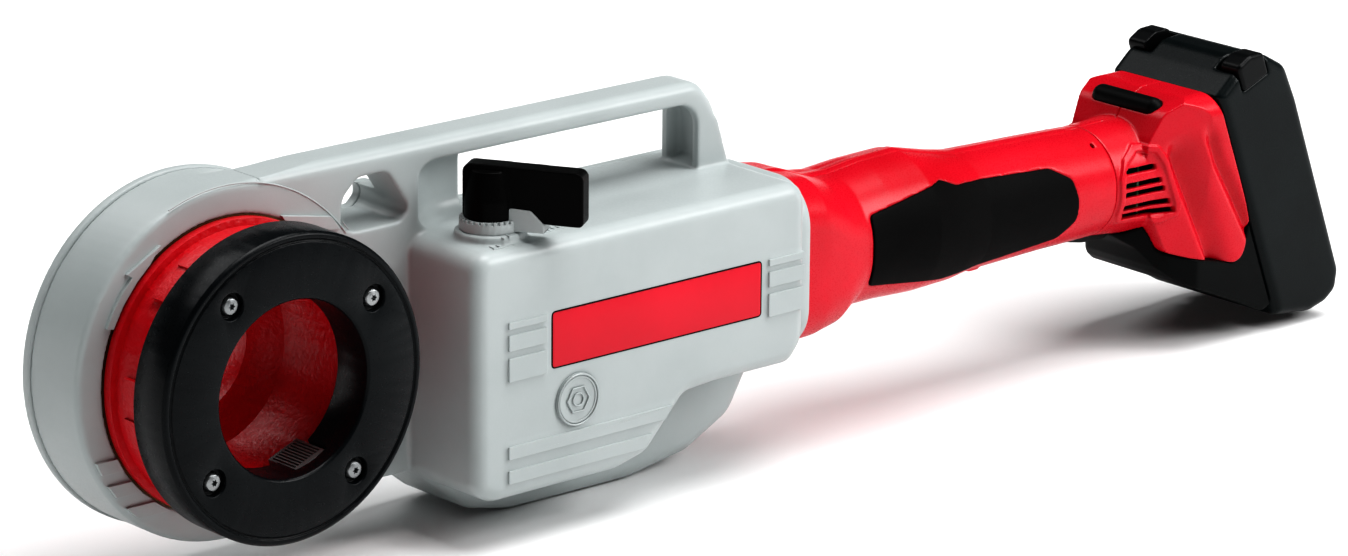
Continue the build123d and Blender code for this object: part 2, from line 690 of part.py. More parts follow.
def shaft_place(x):
    """Where a bearing of the motor axis stands, facing +X."""
    return Plane(origin=(x, 0, MOTOR_Z), z_dir=(1, 0, 0)).location


with BuildPart() as cross_bearings:
    for y in (-30, COVER_JOINT + 4):
        add(ball_bearing(6, SHAFT_R + RUNNING_FIT, 11, 8).moved(bearing_place(CROSS_X, y)))
cross_bearings.part.label = "cross_shaft_bearings"
export_step(cross_bearings.part, "parts/cross_shaft_bearings.step")

with BuildPart() as pinion_bearings:
    add(ball_bearing(8, SHAFT_R + RUNNING_FIT, 12, 9).moved(shaft_place(BEARING_1[0])))
    add(ball_bearing(7.5, SHAFT_R + RUNNING_FIT, 14, 9).moved(shaft_place(BEARING_2[0])))
pinion_bearings.part.label = "pinion_bearings"
export_step(pinion_bearings.part, "parts/pinion_bearings.step")

# ---------------------------------------------------------------- planetary stage
PLANET_ANGLES = (90, 210, 330)
with BuildPart() as adapter_turned:
    with BuildSketch(Plane.XZ):
        with BuildLine():
            Polyline(
                (BEARING_2[0], 14), (BEARING_2[0], 17.4), (MOTOR_START + 0.1, 17.4), (MOTOR_START + 0.1, 32),
                (319, 32), (319, 8), (BEARING_2[1], 8), (BEARING_2[1], 14), close=True,
            )
        make_face()
    revolve(axis=Axis.X)
with BuildPart() as motor_adapter:
    with Locations((0, 0, MOTOR_Z)):
        add(adapter_turned.part)
motor_adapter.part.label = "motor_adapter"
export_step(motor_adapter.part, "parts/motor_adapter.step")

with BuildPart() as carrier:
    with BuildSketch(across(CARRIER_FRONT)):
        with Locations((0, MOTOR_Z)):
            Circle(20)
    extrude(amount=CARRIER_BACK - CARRIER_FRONT)
    with BuildSketch(across(CARRIER_BACK)):
        with Locations((0, MOTOR_Z)):
            with Locations(*[polar(PLANET_ORBIT_R, angle) for angle in PLANET_ANGLES]):
                Circle(2.5)
    extrude(amount=11.5)
carrier.part.label = "planet_carrier"
export_step(carrier.part, "parts/planet_carrier.step")

for number, angle in enumerate(PLANET_ANGLES, 1):
    centre_y, centre_z = polar(PLANET_ORBIT_R, angle)
    with BuildPart() as planet:
        with BuildSketch(across(CARRIER_BACK + 0.5)):
            with Locations((centre_y, centre_z + MOTOR_Z)):
                Polygon(*gear_outline(PLANET_TEETH, PLANET_MODULE, angle + 180 + 180 / PLANET_TEETH))
                Circle(2.5 + RUNNING_FIT, mode=Mode.SUBTRACT)
        extrude(amount=10)
    planet.part.label = f"planet_gear_{number}"
    export_step(planet.part, f"parts/planet_gear_{number}.step")

with BuildPart() as annulus:
    with BuildSketch(across(319)):
        with Locations((0, MOTOR_Z)):
            Circle(27.5)
            Polygon(
                *gear_outline(
                    ANNULUS_TEETH, PLANET_MODULE, 90 + 180 / ANNULUS_TEETH,
                    fullness=0.58, addendum=1.15, dedendum=0.85,
                ),
                mode=Mode.SUBTRACT,
            )
    extrude(amount=19)
annulus.part.label = "fixed_ring_gear"
export_step(annulus.part, "parts/fixed_ring_gear.step")

# ---------------------------------------------------------------- motor
MOTOR_SHAFT_R = 4.0
with BuildPart() as rotor:
    with BuildSketch(across(CARRIER_BACK + 1)):
        with Locations((0, MOTOR_Z)):
            Polygon(*gear_outline(SUN_TEETH, PLANET_MODULE, 90))
    extrude(amount=11)
    with BuildSketch(across(CARRIER_BACK + 11)):
        with Locations((0, MOTOR_Z)):
            Circle(MOTOR_SHAFT_R)
    extrude(amount=447 - CARRIER_BACK - 11)
    with BuildSketch(across(356)):
        with Locations((0, MOTOR_Z)):
            Circle(16.5)
            with PolarLocations(11, 4):
                SlotOverall(9, 2.4, rotation=90, mode=Mode.SUBTRACT)
    extrude(amount=56)
rotor.part.label = "rotor"
export_step(rotor.part, "parts/rotor.step")

with BuildPart() as fan:
    with BuildSketch(across(424)):
        with Locations((0, MOTOR_Z)):
            Circle(24)
            Circle(MOTOR_SHAFT_R, mode=Mode.SUBTRACT)
    extrude(amount=1.6)
    with BuildSketch(across(425.6)):
        with Locations((0, MOTOR_Z)):
            Circle(9)
            Circle(MOTOR_SHAFT_R, mode=Mode.SUBTRACT)
            for blade in range(11):
                with Locations(Location(polar(16, blade * 360 / 11), blade * 360 / 11 + 20)):
                    Rectangle(14, 1.4)
    extrude(amount=8)
fan.part.label = "cooling_fan"
export_step(fan.part, "parts/cooling_fan.step")

with BuildPart() as stator:
    with BuildSketch(across(354)):
        with Locations((0, MOTOR_Z)):
            Circle(28)
            Circle(17, mode=Mode.SUBTRACT)
            with PolarLocations(21.5, 9):
                Rectangle(7, 7, mode=Mode.SUBTRACT)
    extrude(amount=60)
stator.part.label = "stator_core"
export_step(stator.part, "parts/stator_core.step")

with BuildPart() as windings:
    with BuildSketch(across(350.4)):
        with Locations((0, MOTOR_Z)):
            with PolarLocations(21.5, 9):
                RectangleRounded(7 - 0.6, 7 - 0.6, 1.5)
    extrude(amount=67)
windings.part.label = "stator_windings"
export_step(windings.part, "parts/stator_windings.step")

for name, start, thick, outer in (
    ("motor_front_plate", 340.0, 9.0, 32.0),
    ("motor_rear_plate", 439.0, 8.0, 27.0),
):
    with BuildPart() as plate:
        with BuildSketch(across(start)):
            with Locations((0, MOTOR_Z)):
                Circle(outer)
                Circle(11, mode=Mode.SUBTRACT)
                with PolarLocations((11 + outer) / 2 + 0.5, 6):
                    Circle(4.2, mode=Mode.SUBTRACT)
        extrude(amount=thick)
    plate.part.label = name
    export_step(plate.part, f"parts/{name}.step")

with BuildPart() as motor_bearings:
    for x in (341, 439.5):
        add(ball_bearing(7, MOTOR_SHAFT_R + RUNNING_FIT, 11, 8).moved(shaft_place(x)))
motor_bearings.part.label = "motor_bearings"
export_step(motor_bearings.part, "parts/motor_bearings.step")

# ---------------------------------------------------------------- barrel shells and soft grips
BARREL_SECTIONS = [
    (MOTOR_START, -5.5, 78, 85, 22), (335, -7, 77, 82, 24), (352, -9.5, 74, 75, 28),
    (364, -6.75, 71, 68.5, 31), (385, -5.75, 72, 71.5, 34), (412, -6, 72.5, 74, 35.5),
    (438, -8.65, 66.6, 67.3, 32.5), (452, -8.9, 63.4, 62.8, 31), (475, -9, 62, 61.6, 30.5),
    (508, -9.05, 60.4, 59.7, 29.6), (TAIL_START, -9.65, 59, 58.1, 29),
]
GRIP_OUTLINE = [
    (367, 11), (421, 18.5), (432, 14), (500, 10), (513, 3), (516, -8), (516, -19), (506, -28), (470, -31),
    (424, -34), (367, -25),
]
GRIP_RADII = [3, 5, 6, 5, 5, 5, 6, 6, 20, 10, 3]
PADDLE_HINGE = (457.0, -33.0)
PADDLE_HALF_WIDTH = 11.0
BARREL_SCREWS = [(332, 23.5, 28), (332, -43.0, 22), (538, 13, 14)]


def barrel(grow):
    """The barrel as a closed solid, with every surface moved out by this much."""
    with BuildPart() as body:
        for x, z, width, height, corner in BARREL_SECTIONS:
            with BuildSketch(across(x)):
                with Locations((0, z)):
                    RectangleRounded(width + 2 * grow, height + 2 * grow, corner + grow)
        loft(ruled=True)
    return body.part


def side_slab(front, back):
    """Half space between two planes across Y, long enough for the whole machine."""
    slab = Box(900, back - front, 400, align=(Align.MIN, Align.MIN, Align.CENTER))
    return slab.moved(Location((0, front, 0)))


barrel_outer = barrel(0)
barrel_shell = barrel_outer - barrel(-SHELL)
grip_band = barrel(0.7) - barrel(-1.6)

for side, name_shell, name_grip in (
    (-1, "motor_housing_near", "soft_grip_near"),
    (1, "motor_housing_far", "soft_grip_far"),
):
    slab = side_slab(-60, 0) if side < 0 else side_slab(0, 60)
    with BuildPart() as grip:
        with BuildSketch(section(0)):
            with BuildLine():
                FilletPolyline(*GRIP_OUTLINE, radius=GRIP_RADII, close=True)
            make_face()
        extrude(amount=-side * 60)
        add(grip_band, mode=Mode.INTERSECT)
    grip.part.label = name_grip
    export_step(grip.part, f"parts/{name_grip}.step")
    with BuildPart() as shell:
        add(barrel_shell & slab)
        # pillars for the housing screws and the paddle's hinge pin
        for x, z, reach in BARREL_SCREWS:
            with BuildSketch(section(0)):
                with Locations((x, z)):
                    Circle(3.6)
            extrude(amount=-side * 60)
        add(barrel_outer, mode=Mode.INTERSECT)
        with BuildSketch(section(side * (PADDLE_HALF_WIDTH + 0.5))):
            with Locations((PADDLE_HINGE[0], PADDLE_HINGE[1] - 1)):
                Rectangle(7, 8.5)
        extrude(amount=-side * 3.5)
        add(grip.part, mode=Mode.SUBTRACT)
        with Locations((499, 0, -40)):
            Box(94, 2 * PADDLE_HALF_WIDTH + 0.8, 16, mode=Mode.SUBTRACT)
        with BuildSketch(section(15)):
            with Locations(PADDLE_HINGE):
                Circle(1.5)
        extrude(amount=30, mode=Mode.SUBTRACT)
        with BuildSketch(section(60)):
            for x, z, reach in BARREL_SCREWS:
                with Locations((x, z)):
                    Circle(1.6)
        extrude(amount=78, mode=Mode.SUBTRACT)
        for x, z, reach in BARREL_SCREWS:
            with BuildSketch(section(60)):
                with Locations((x, z)):
                    Circle(3.1)
            extrude(amount=60 - reach, mode=Mode.SUBTRACT)
    shell.part.label = name_shell
    export_step(shell.part, f"parts/{name_shell}.step")

# ---------------------------------------------------------------- paddle switch and electrics
PADDLE_BULGE = [(528, 28.9), (541, 31.4), (555, 31.9), (559.5, 30.2)]
with BuildPart() as paddle_bulge:
    for x, radius in PADDLE_BULGE:
        with BuildSketch(across(x)):
            with Locations((0, MOTOR_Z)):
                Circle(radius)
    loft(ruled=True)
with BuildPart() as paddle:
    with BuildSketch(section(PADDLE_HALF_WIDTH)):
        with Locations((506.75, -41)):
            Rectangle(105.5, 11)
    extrude(amount=2 * PADDLE_HALF_WIDTH)
    add(barrel(0.15) + paddle_bulge.part, mode=Mode.INTERSECT)
    with BuildSketch(section(PADDLE_HALF_WIDTH)):
        with Locations(PADDLE_HINGE):
            Circle(3.2)
    extrude(amount=2 * PADDLE_HALF_WIDTH)
    with BuildSketch(section(PADDLE_HALF_WIDTH)):
        with Locations(PADDLE_HINGE):
            Circle(1.5 + RUNNING_FIT)
    extrude(amount=2 * PADDLE_HALF_WIDTH, mode=Mode.SUBTRACT)
    with Locations((500, 0, -33.2)):
        Box(70, 13, 8, mode=Mode.SUBTRACT)
paddle.part.label = "paddle_switch"
export_step(paddle.part, "parts/paddle_switch.step")

with BuildPart() as paddle_pin:
    with BuildSketch(section(14.8)):
        with Locations(PADDLE_HINGE):
            Circle(1.5)
    extrude(amount=29.6)
paddle_pin.part.label = "paddle_pin"
export_step(paddle_pin.part, "parts/paddle_pin.step")

with BuildPart() as paddle_spring:
    with Locations((478, 0, -36.6)):
        add(coil(3.4, 0.45, 8.4, 5))
paddle_spring.part.label = "paddle_spring"
export_step(paddle_spring.part, "parts/paddle_spring.step")

with BuildPart() as switch_block:
    with BuildSketch(section(10)):
        with Locations((485, -17.5)):
            RectangleRounded(46, 20, 2)
    extrude(amount=20)
    with Locations((495, 0, -31.4)):
        Cylinder(2.4, 7.9)
switch_block.part.label = "switch_block"
export_step(switch_block.part, "parts/switch_block.step")

with BuildPart() as motor_leads:
    with BuildSketch(across(447.5)):
        with Locations((-7, 2), (0, 3), (7, 2)):
            Circle(1.3)
    extrude(amount=566.8 - 447.5)
motor_leads.part.label = "motor_leads"
export_step(motor_leads.part, "parts/motor_leads.step")

BOARD_X = 567.0
with BuildPart() as control_board:
    with BuildSketch(across(BOARD_X)):
        with Locations((0, -11)):
            RectangleRounded(44, 36, 3)
    extrude(amount=1.6)
    with BuildSketch(across(BOARD_X + 1.6)):
        with Locations((-13, -18), (-13, -6), (13, -18), (13, -6)):
            Rectangle(8, 8)
        with Locations((0, -22)):
            Rectangle(10, 7)
    extrude(amount=3)
    with BuildSketch(across(BOARD_X + 1.6)):
        with Locations((-4.5, -4), (4.5, -4)):
            Circle(4)
    extrude(amount=11)
control_board.part.label = "control_board"
export_step(control_board.part, "parts/control_board.step")

# ---------------------------------------------------------------- tail shells, foot and bumper
NECK_SECTIONS = [(TAIL_START, -9.65, 59, 58.1, 29), (572, -10.5, 61, 61, 29), (600, -12, 70, 72, 26)]
CHEEK_OUTLINE = [
    (566, -14), (569, 13), (577, 27), (592, 33.5), seat_point(0, 4), seat_point(0, -76), (629, -61),
    (594, -52.5), (580, -48),
]
CHEEK_RADII = [8, 12, 10, 8, 2, 5, 8, 8, 8]
CHEEK_PLAN = [(560, -25), (584, -33), (604, -40), (680, -40), (680, 40), (604, 40), (584, 33), (560, 25)]
TAIL_SCREWS = [(598, 23, 32), (604, -42, 32)]
BUMPER_CENTRE = (581.5, 0.0, 27.0)
VENT_FRAME = [
    (546.8, -3), (552, 6.5), (562, 12.2), (574, 10.5), (580, 2), (587.4, -21), (586, -28), (576, -31),
    (550, -28.5), (546.8, -23),
]
VENT_SLOTS = [(-0.5, 3), (-7.9, 2.9), (-12.6, 2.9), (-19.9, 2.9), (-24.6, 2.9)]


def tail_body(inset):
    """The tail as a closed solid, with every surface moved in by this much."""
    with BuildPart() as neck:
        for x, z, width, height, corner in NECK_SECTIONS:
            with BuildSketch(across(x)):
                with Locations((0, z)):
                    RectangleRounded(width - 2 * inset, height - 2 * inset, corner - inset)
        loft(ruled=True)
    with BuildPart() as cheeks:
        with BuildSketch(section(60)):
            with BuildLine():
                FilletPolyline(*CHEEK_OUTLINE, radius=CHEEK_RADII, close=True)
            make_face()
            if inset:
                offset(amount=-inset, kind=Kind.INTERSECTION, mode=Mode.REPLACE)
        extrude(amount=120)
        with BuildSketch(Plane.XY.offset(-120)):
            Polygon(*CHEEK_PLAN)
            if inset:
                offset(amount=-inset, kind=Kind.INTERSECTION, mode=Mode.REPLACE)
        extrude(amount=200, mode=Mode.INTERSECT)
        with BuildSketch(across(500)):
            with Locations((0, 33.7 - 60)):
                RectangleRounded(80 - 2 * inset, 120 - 2 * inset, 13 - inset)
        extrude(amount=300, mode=Mode.INTERSECT)
    return neck.part + cheeks.part


with BuildPart() as bumper:
    with Locations(Location(BUMPER_CENTRE, (90, 0, 0))):
        Cylinder(5.6, 36)
    with Locations((BUMPER_CENTRE[0], -18, BUMPER_CENTRE[2]), (BUMPER_CENTRE[0], 18, BUMPER_CENTRE[2])):
        Sphere(5.6)
bumper.part.label = "top_bumper"
export_step(bumper.part, "parts/top_bumper.step")

with BuildPart() as vent_frame_outline:
    with BuildSketch(section(60)):
        with BuildLine():
            FilletPolyline(*VENT_FRAME, radius=3, close=True)
        make_face()
        offset(amount=-3.4, kind=Kind.INTERSECTION, mode=Mode.SUBTRACT)
    extrude(amount=120)

tail_outer = tail_body(0)
vent_frame = vent_frame_outline.part & tail_body(-1.4) - tail_body(1)
tail_shell = tail_outer - tail_body(SHELL)
for side, name in ((-1, "tail_shell_near"), (1, "tail_shell_far")):
    slab = side_slab(-60, 0) if side < 0 else side_slab(0, 60)
    with BuildPart() as tail:
        add(tail_shell & slab)
        for x, z, reach in TAIL_SCREWS:
            with BuildSketch(section(0)):
                with Locations((x, z)):
                    Circle(3.6)
            extrude(amount=-side * 60)
        add(tail_outer, mode=Mode.INTERSECT)
        add(bumper.part, mode=Mode.SUBTRACT)
        add(vent_frame & slab)
        with BuildSketch(section(side * 18)):
            for height, tall in VENT_SLOTS:
                right = 573 - height * 0.45
                with Locations(((551.5 + right) / 2, height)):
                    Rectangle(right - 551.5, tall)
        extrude(amount=-side * 30, mode=Mode.SUBTRACT)
        # room for the rear end of the paddle
        with Locations((552.5, 0, -39)):
            Box(17, 2 * PADDLE_HALF_WIDTH + 0.8, 18, mode=Mode.SUBTRACT)
        with BuildSketch(section(60)):
            for x, z, reach in TAIL_SCREWS:
                with Locations((x, z)):
                    Circle(1.6)
        extrude(amount=78, mode=Mode.SUBTRACT)
        for x, z, reach in TAIL_SCREWS:
            with BuildSketch(section(60)):
                with Locations((x, z)):
                    Circle(3.1)
            extrude(amount=60 - reach, mode=Mode.SUBTRACT)
    tail.part.label = name
    export_step(tail.part, f"parts/{name}.step")

with BuildPart() as housing_screws:
    for x, z, reach in BARREL_SCREWS + TAIL_SCREWS:
        with BuildSketch(section(reach + 2.6)):
            with Locations((x, z)):
                Circle(3)
                RegularPolygon(1.3, 6, mode=Mode.SUBTRACT)
        extrude(amount=2.6)
        with BuildSketch(section(reach)):
            with Locations((x, z)):
                Circle(1.5)
        extrude(amount=reach + 15)
housing_screws.part.label = "housing_screws"
export_step(housing_screws.part, "parts/housing_screws.step")

FOOT_OUTLINE = [
    (562, -36), (563, -40.5), (572, -47), (580, -57.5), (587, -63.5), (595, -68.4), (640, -87), (649, -92),
    seat_point(-0.2, -128), seat_point(-0.2, -70), (600, -40), (570, -30),
]
FOOT_PLAN = [
    (558, -4), (563, -10), (572, -19), (584, -30), (598, -38), (680, -38),
    (680, 38), (598, 38), (584, 30), (572, 19), (563, 10), (558, 4),
]
with BuildPart() as foot:
    with BuildSketch(section(60)):
        with BuildLine():
            FilletPolyline(*FOOT_OUTLINE, radius=[0, 3, 8, 8, 6, 10, 14, 6, 0, 0, 0, 0], close=True)
        make_face()
    extrude(amount=120)
    with BuildSketch(Plane.XY.offset(-120)):
        Polygon(*FOOT_PLAN)
    extrude(amount=200, mode=Mode.INTERSECT)
    with BuildSketch(section(34)):
        with BuildLine():
            Polyline(
                (592, -55), (594, -65), (643, -85.5), seat_point(-4, -124), seat_point(-4, -80), (628, -64),
                close=True,
            )
        make_face()
    extrude(amount=68, mode=Mode.SUBTRACT)
    add(tail_outer, mode=Mode.SUBTRACT)
    add(barrel_outer, mode=Mode.SUBTRACT)
foot.part.label = "tail_foot"
export_step(foot.part, "parts/tail_foot.step")

# ---------------------------------------------------------------- battery seat and battery
SEAT_GAP = 0.4


def seat_sketch_plane(up):
    """A plane across the battery's slide direction: sketch x is Y, sketch y is outwards."""
    x, z = seat_point(0, up)
    lean = radians(BATTERY_TILT)
    return Plane(origin=(x, 0, z), x_dir=(0, 1, 0), z_dir=(sin(lean), 0, -cos(lean)))


with BuildPart() as rail:
    with BuildSketch(seat_sketch_plane(-12)):
        Polygon((-19, 0), (19, 0), (19, 3.2), (22, 3.2), (22, 6.6), (-22, 6.6), (-22, 3.2), (-19, 3.2))
    extrude(amount=82)
rail.part.label = "terminal_block"
export_step(rail.part, "parts/terminal_block.step")

with BuildPart() as blades:
    with BuildSketch(seat_sketch_plane(-3)):
        with Locations((-12, 3.4), (-4, 3.4), (4, 3.4), (12, 3.4)):
            Rectangle(1, 4.4)
    extrude(amount=9)
blades.part.label = "contact_blades"
export_step(blades.part, "parts/contact_blades.step")

PACK_OUTLINE = [
    seat_point(SEAT_GAP, 2), seat_point(14, 6.5), seat_point(26, 9.5), seat_point(40, 5), seat_point(51, -8),
    seat_point(52.8, -30), seat_point(52.2, -138), seat_point(46.5, -148), seat_point(37, -150.4),
    seat_point(24.5, -148.7), seat_point(SEAT_GAP, -136),
]
PACK_RADII = [1, 10, 10, 10, 10, 40, 8, 7, 7, 10, 2]
with BuildPart() as battery_case:
    with BuildSketch(section(BATTERY_HALF_WIDTH)):
        with BuildLine():
            FilletPolyline(*PACK_OUTLINE, radius=PACK_RADII, close=True)
        make_face()
    extrude(amount=2 * BATTERY_HALF_WIDTH)
    end_faces = battery_case.faces().sort_by(Axis.Y)
    outline_edges = end_faces[0].edges() + end_faces[-1].edges()
    seat_x, seat_z = seat_point(6, -60)
    rounded = [
        edge for edge in outline_edges
        if hypot(edge.center().X - seat_x, edge.center().Z - seat_z) > 20
    ]
    fillet(rounded, radius=5)
    # inside for the cells, rail channel, button pockets
    with BuildSketch(section(BATTERY_HALF_WIDTH - 3)):
        with BuildLine():
            Polyline(
                seat_point(10, -10), seat_point(48, -12), seat_point(49, -137), seat_point(25, -142),
                seat_point(10, -133), close=True,
            )
        make_face()
    extrude(amount=2 * (BATTERY_HALF_WIDTH - 3), mode=Mode.SUBTRACT)
    with BuildSketch(seat_sketch_plane(-2)):
        Polygon(
            (-19.4, 0), (19.4, 0), (19.4, 2.8), (22.4, 2.8), (22.4, 7.0), (-22.4, 7.0), (-22.4, 2.8),
            (-19.4, 2.8),
        )
    extrude(amount=160, mode=Mode.SUBTRACT)
    for side in (-1, 1):
        with BuildSketch(section(side * 32 + 9)):
            Polygon(seat_point(16.6, -4), seat_point(16.6, 20), seat_point(37.4, 20), seat_point(37.4, -4))
        extrude(amount=18, mode=Mode.SUBTRACT)
battery_case.part.label = "battery_case"
export_step(battery_case.part, "parts/battery_case.step")

for side, name in ((-1, "release_button_near"), (1, "release_button_far")):
    with BuildPart() as button:
        with BuildSketch(section(side * 34 + 6.5)):
            with BuildLine():
                FilletPolyline(
                    seat_point(17, -3.6), seat_point(17, 10.6), seat_point(27, 12), seat_point(37, 8.6),
                    seat_point(37, -3.6), radius=[0, 3, 8, 3, 0], close=True,
                )
            make_face()
        extrude(amount=13)
        fillet(button.faces().sort_by(Axis.Y)[0 if side < 0 else -1].edges().sort_by(Axis.Z)[-2:], radius=2)
    button.part.label = name
    export_step(button.part, f"parts/{name}.step")

CELL_R = 9.1
with BuildPart() as cells:
    cell_places = [seat_point(out, -24 - 19 * row) for row in range(6) for out in (19.6, 37.8)]
    with BuildSketch(section(35)):
        with Locations(*cell_places):
            Circle(CELL_R)
    extrude(amount=70)
cells.part.label = "battery_cells"
export_step(cells.part, "parts/battery_cells.step")

with BuildPart() as pack_contacts:
    with BuildSketch(seat_sketch_plane(-3)):
        for y in (-12, -4, 4, 12):
            with Locations((y - 1.1, 3.8), (y + 1.1, 3.8)):
                Rectangle(0.9, 5.2)
        with Locations((0, 6.4)):
            Rectangle(30, 1.0)
    extrude(amount=7)
pack_contacts.part.label = "pack_contacts"
export_step(pack_contacts.part, "parts/pack_contacts.step")

# ---------------------------------------------------------------- direction knob
KNOB_BASE = 51.5
knob_axis = (KNOB_X, KNOB_Y)
wing_plane = Plane(
    origin=(KNOB_X, KNOB_Y, 0),
    x_dir=(cos(radians(KNOB_HEADING)), sin(radians(KNOB_HEADING)), 0),
    z_dir=(sin(radians(KNOB_HEADING)), -cos(radians(KNOB_HEADING)), 0),
)
WING_OUTLINE = [(-12, 53), (-12, 77.5), (46, 76), (46, 50), (27, 50.5), (21, 56.5), (12, 57), (12, 53)]
with BuildPart() as knob:
    with BuildSketch(wing_plane.offset(-5.5)):
        with BuildLine():
            FilletPolyline(*WING_OUTLINE, radius=[0, 4, 4, 2.5, 1.5, 2, 0, 0], close=True)
        make_face()
    extrude(amount=11)
    with BuildSketch(Plane.XY.offset(KNOB_BASE)):
        with Locations(knob_axis):
            Circle(12.6)
    extrude(amount=9)
    with BuildSketch(Plane.XY.offset(KNOB_BASE + 9)):
        with Locations(knob_axis):
            Circle(12.6)
    extrude(amount=14, taper=12)
    with BuildSketch(Plane.XY.offset(KNOB_BASE)):
        with Locations(knob_axis):
            Circle(4)
    extrude(amount=14, mode=Mode.SUBTRACT)
knob.part.label = "direction_knob"
export_step(knob.part, "parts/direction_knob.step")

SERRATIONS = 30
with BuildPart() as knob_collar:
    with BuildSketch(Plane.XY.offset(45.9)):
        with Locations(knob_axis):
            Circle(14.6)
            Circle(4, mode=Mode.SUBTRACT)
    extrude(amount=4.4)
    with BuildSketch(Plane.XY.offset(50.3)):
        with Locations(knob_axis):
            for tooth in range(SERRATIONS):
                with Locations(Location(polar(13.7, tooth * 360 / SERRATIONS), tooth * 360 / SERRATIONS)):
                    Rectangle(1.6, 1.5)
            Circle(13)
            Circle(4, mode=Mode.SUBTRACT)
    extrude(amount=1.2)
knob_collar.part.label = "knob_collar"
export_step(knob_collar.part, "parts/knob_collar.step")

with BuildPart() as selector_shaft:
    with BuildSketch(Plane.XY.offset(18)):
        with Locations(knob_axis):
            Circle(4)
    extrude(amount=KNOB_BASE + 14 - 18)
selector_shaft.part.label = "selector_shaft"
export_step(selector_shaft.part, "parts/selector_shaft.step")

with BuildPart() as reversing_switch:
    with BuildSketch(Plane.XY.offset(14)):
        with Locations((129, KNOB_Y)):
            RectangleRounded(22, 26, 2)
    extrude(amount=12)
    with BuildSketch(Plane.XY.offset(17.5)):
        with Locations(knob_axis):
            Circle(4 + RUNNING_FIT)
    extrude(amount=10, mode=Mode.SUBTRACT)
    with BuildSketch(Plane.XY.offset(26)):
        with Locations((122, KNOB_Y)):
            Rectangle(5, 22)
    extrude(amount=11, mode=Mode.ADD)
reversing_switch.part.label = "reversing_switch"
export_step(reversing_switch.part, "parts/reversing_switch.step")

with BuildPart() as detent_ball:
    with Locations((KNOB_X - 11, KNOB_Y, 43.4)):
        Sphere(2.4)
detent_ball.part.label = "detent_ball"
export_step(detent_ball.part, "parts/detent_ball.step")
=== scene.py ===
"""Looks of the cordless pipe threading machine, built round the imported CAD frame. Metres, Z up."""

import json
import math

import bmesh
import bpy
import numpy as np
from mathutils import Matrix, Vector
from mathutils.bvhtree import BVHTree


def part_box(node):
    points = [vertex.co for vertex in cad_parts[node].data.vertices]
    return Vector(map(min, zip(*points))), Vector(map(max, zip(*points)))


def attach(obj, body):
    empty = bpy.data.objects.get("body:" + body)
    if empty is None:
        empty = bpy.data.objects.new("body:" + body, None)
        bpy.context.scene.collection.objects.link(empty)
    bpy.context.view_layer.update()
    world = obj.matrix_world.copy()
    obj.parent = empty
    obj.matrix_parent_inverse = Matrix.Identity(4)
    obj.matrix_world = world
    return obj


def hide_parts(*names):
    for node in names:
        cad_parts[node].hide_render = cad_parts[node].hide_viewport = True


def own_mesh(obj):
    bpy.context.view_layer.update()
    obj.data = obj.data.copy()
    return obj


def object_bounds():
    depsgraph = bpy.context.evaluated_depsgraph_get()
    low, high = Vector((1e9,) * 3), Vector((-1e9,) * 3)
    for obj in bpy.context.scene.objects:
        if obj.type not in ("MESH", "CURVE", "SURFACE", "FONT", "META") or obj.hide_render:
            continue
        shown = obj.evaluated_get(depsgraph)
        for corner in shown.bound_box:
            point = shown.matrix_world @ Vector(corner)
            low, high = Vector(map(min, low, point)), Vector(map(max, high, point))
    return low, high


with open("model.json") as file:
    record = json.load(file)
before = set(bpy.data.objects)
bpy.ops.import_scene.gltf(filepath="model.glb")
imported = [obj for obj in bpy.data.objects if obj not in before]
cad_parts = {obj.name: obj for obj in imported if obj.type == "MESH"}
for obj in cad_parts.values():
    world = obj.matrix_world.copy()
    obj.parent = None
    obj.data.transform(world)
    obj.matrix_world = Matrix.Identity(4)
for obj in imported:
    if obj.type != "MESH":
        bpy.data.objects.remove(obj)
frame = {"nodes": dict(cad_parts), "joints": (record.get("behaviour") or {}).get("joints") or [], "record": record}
cad_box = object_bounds()
nodes = frame["nodes"]
MM = 0.001

# ---------------------------------------------------------------- materials
COAT_ROUGHNESS = 0.12
BLOTCH_DETAIL, BLOTCH_ROUGHNESS, BLOTCH_STOPS = 6, 0.6, (0.35, 0.65)
GRAIN_DETAIL, GRAIN_SPAN = 3, (0.3, 0.7)


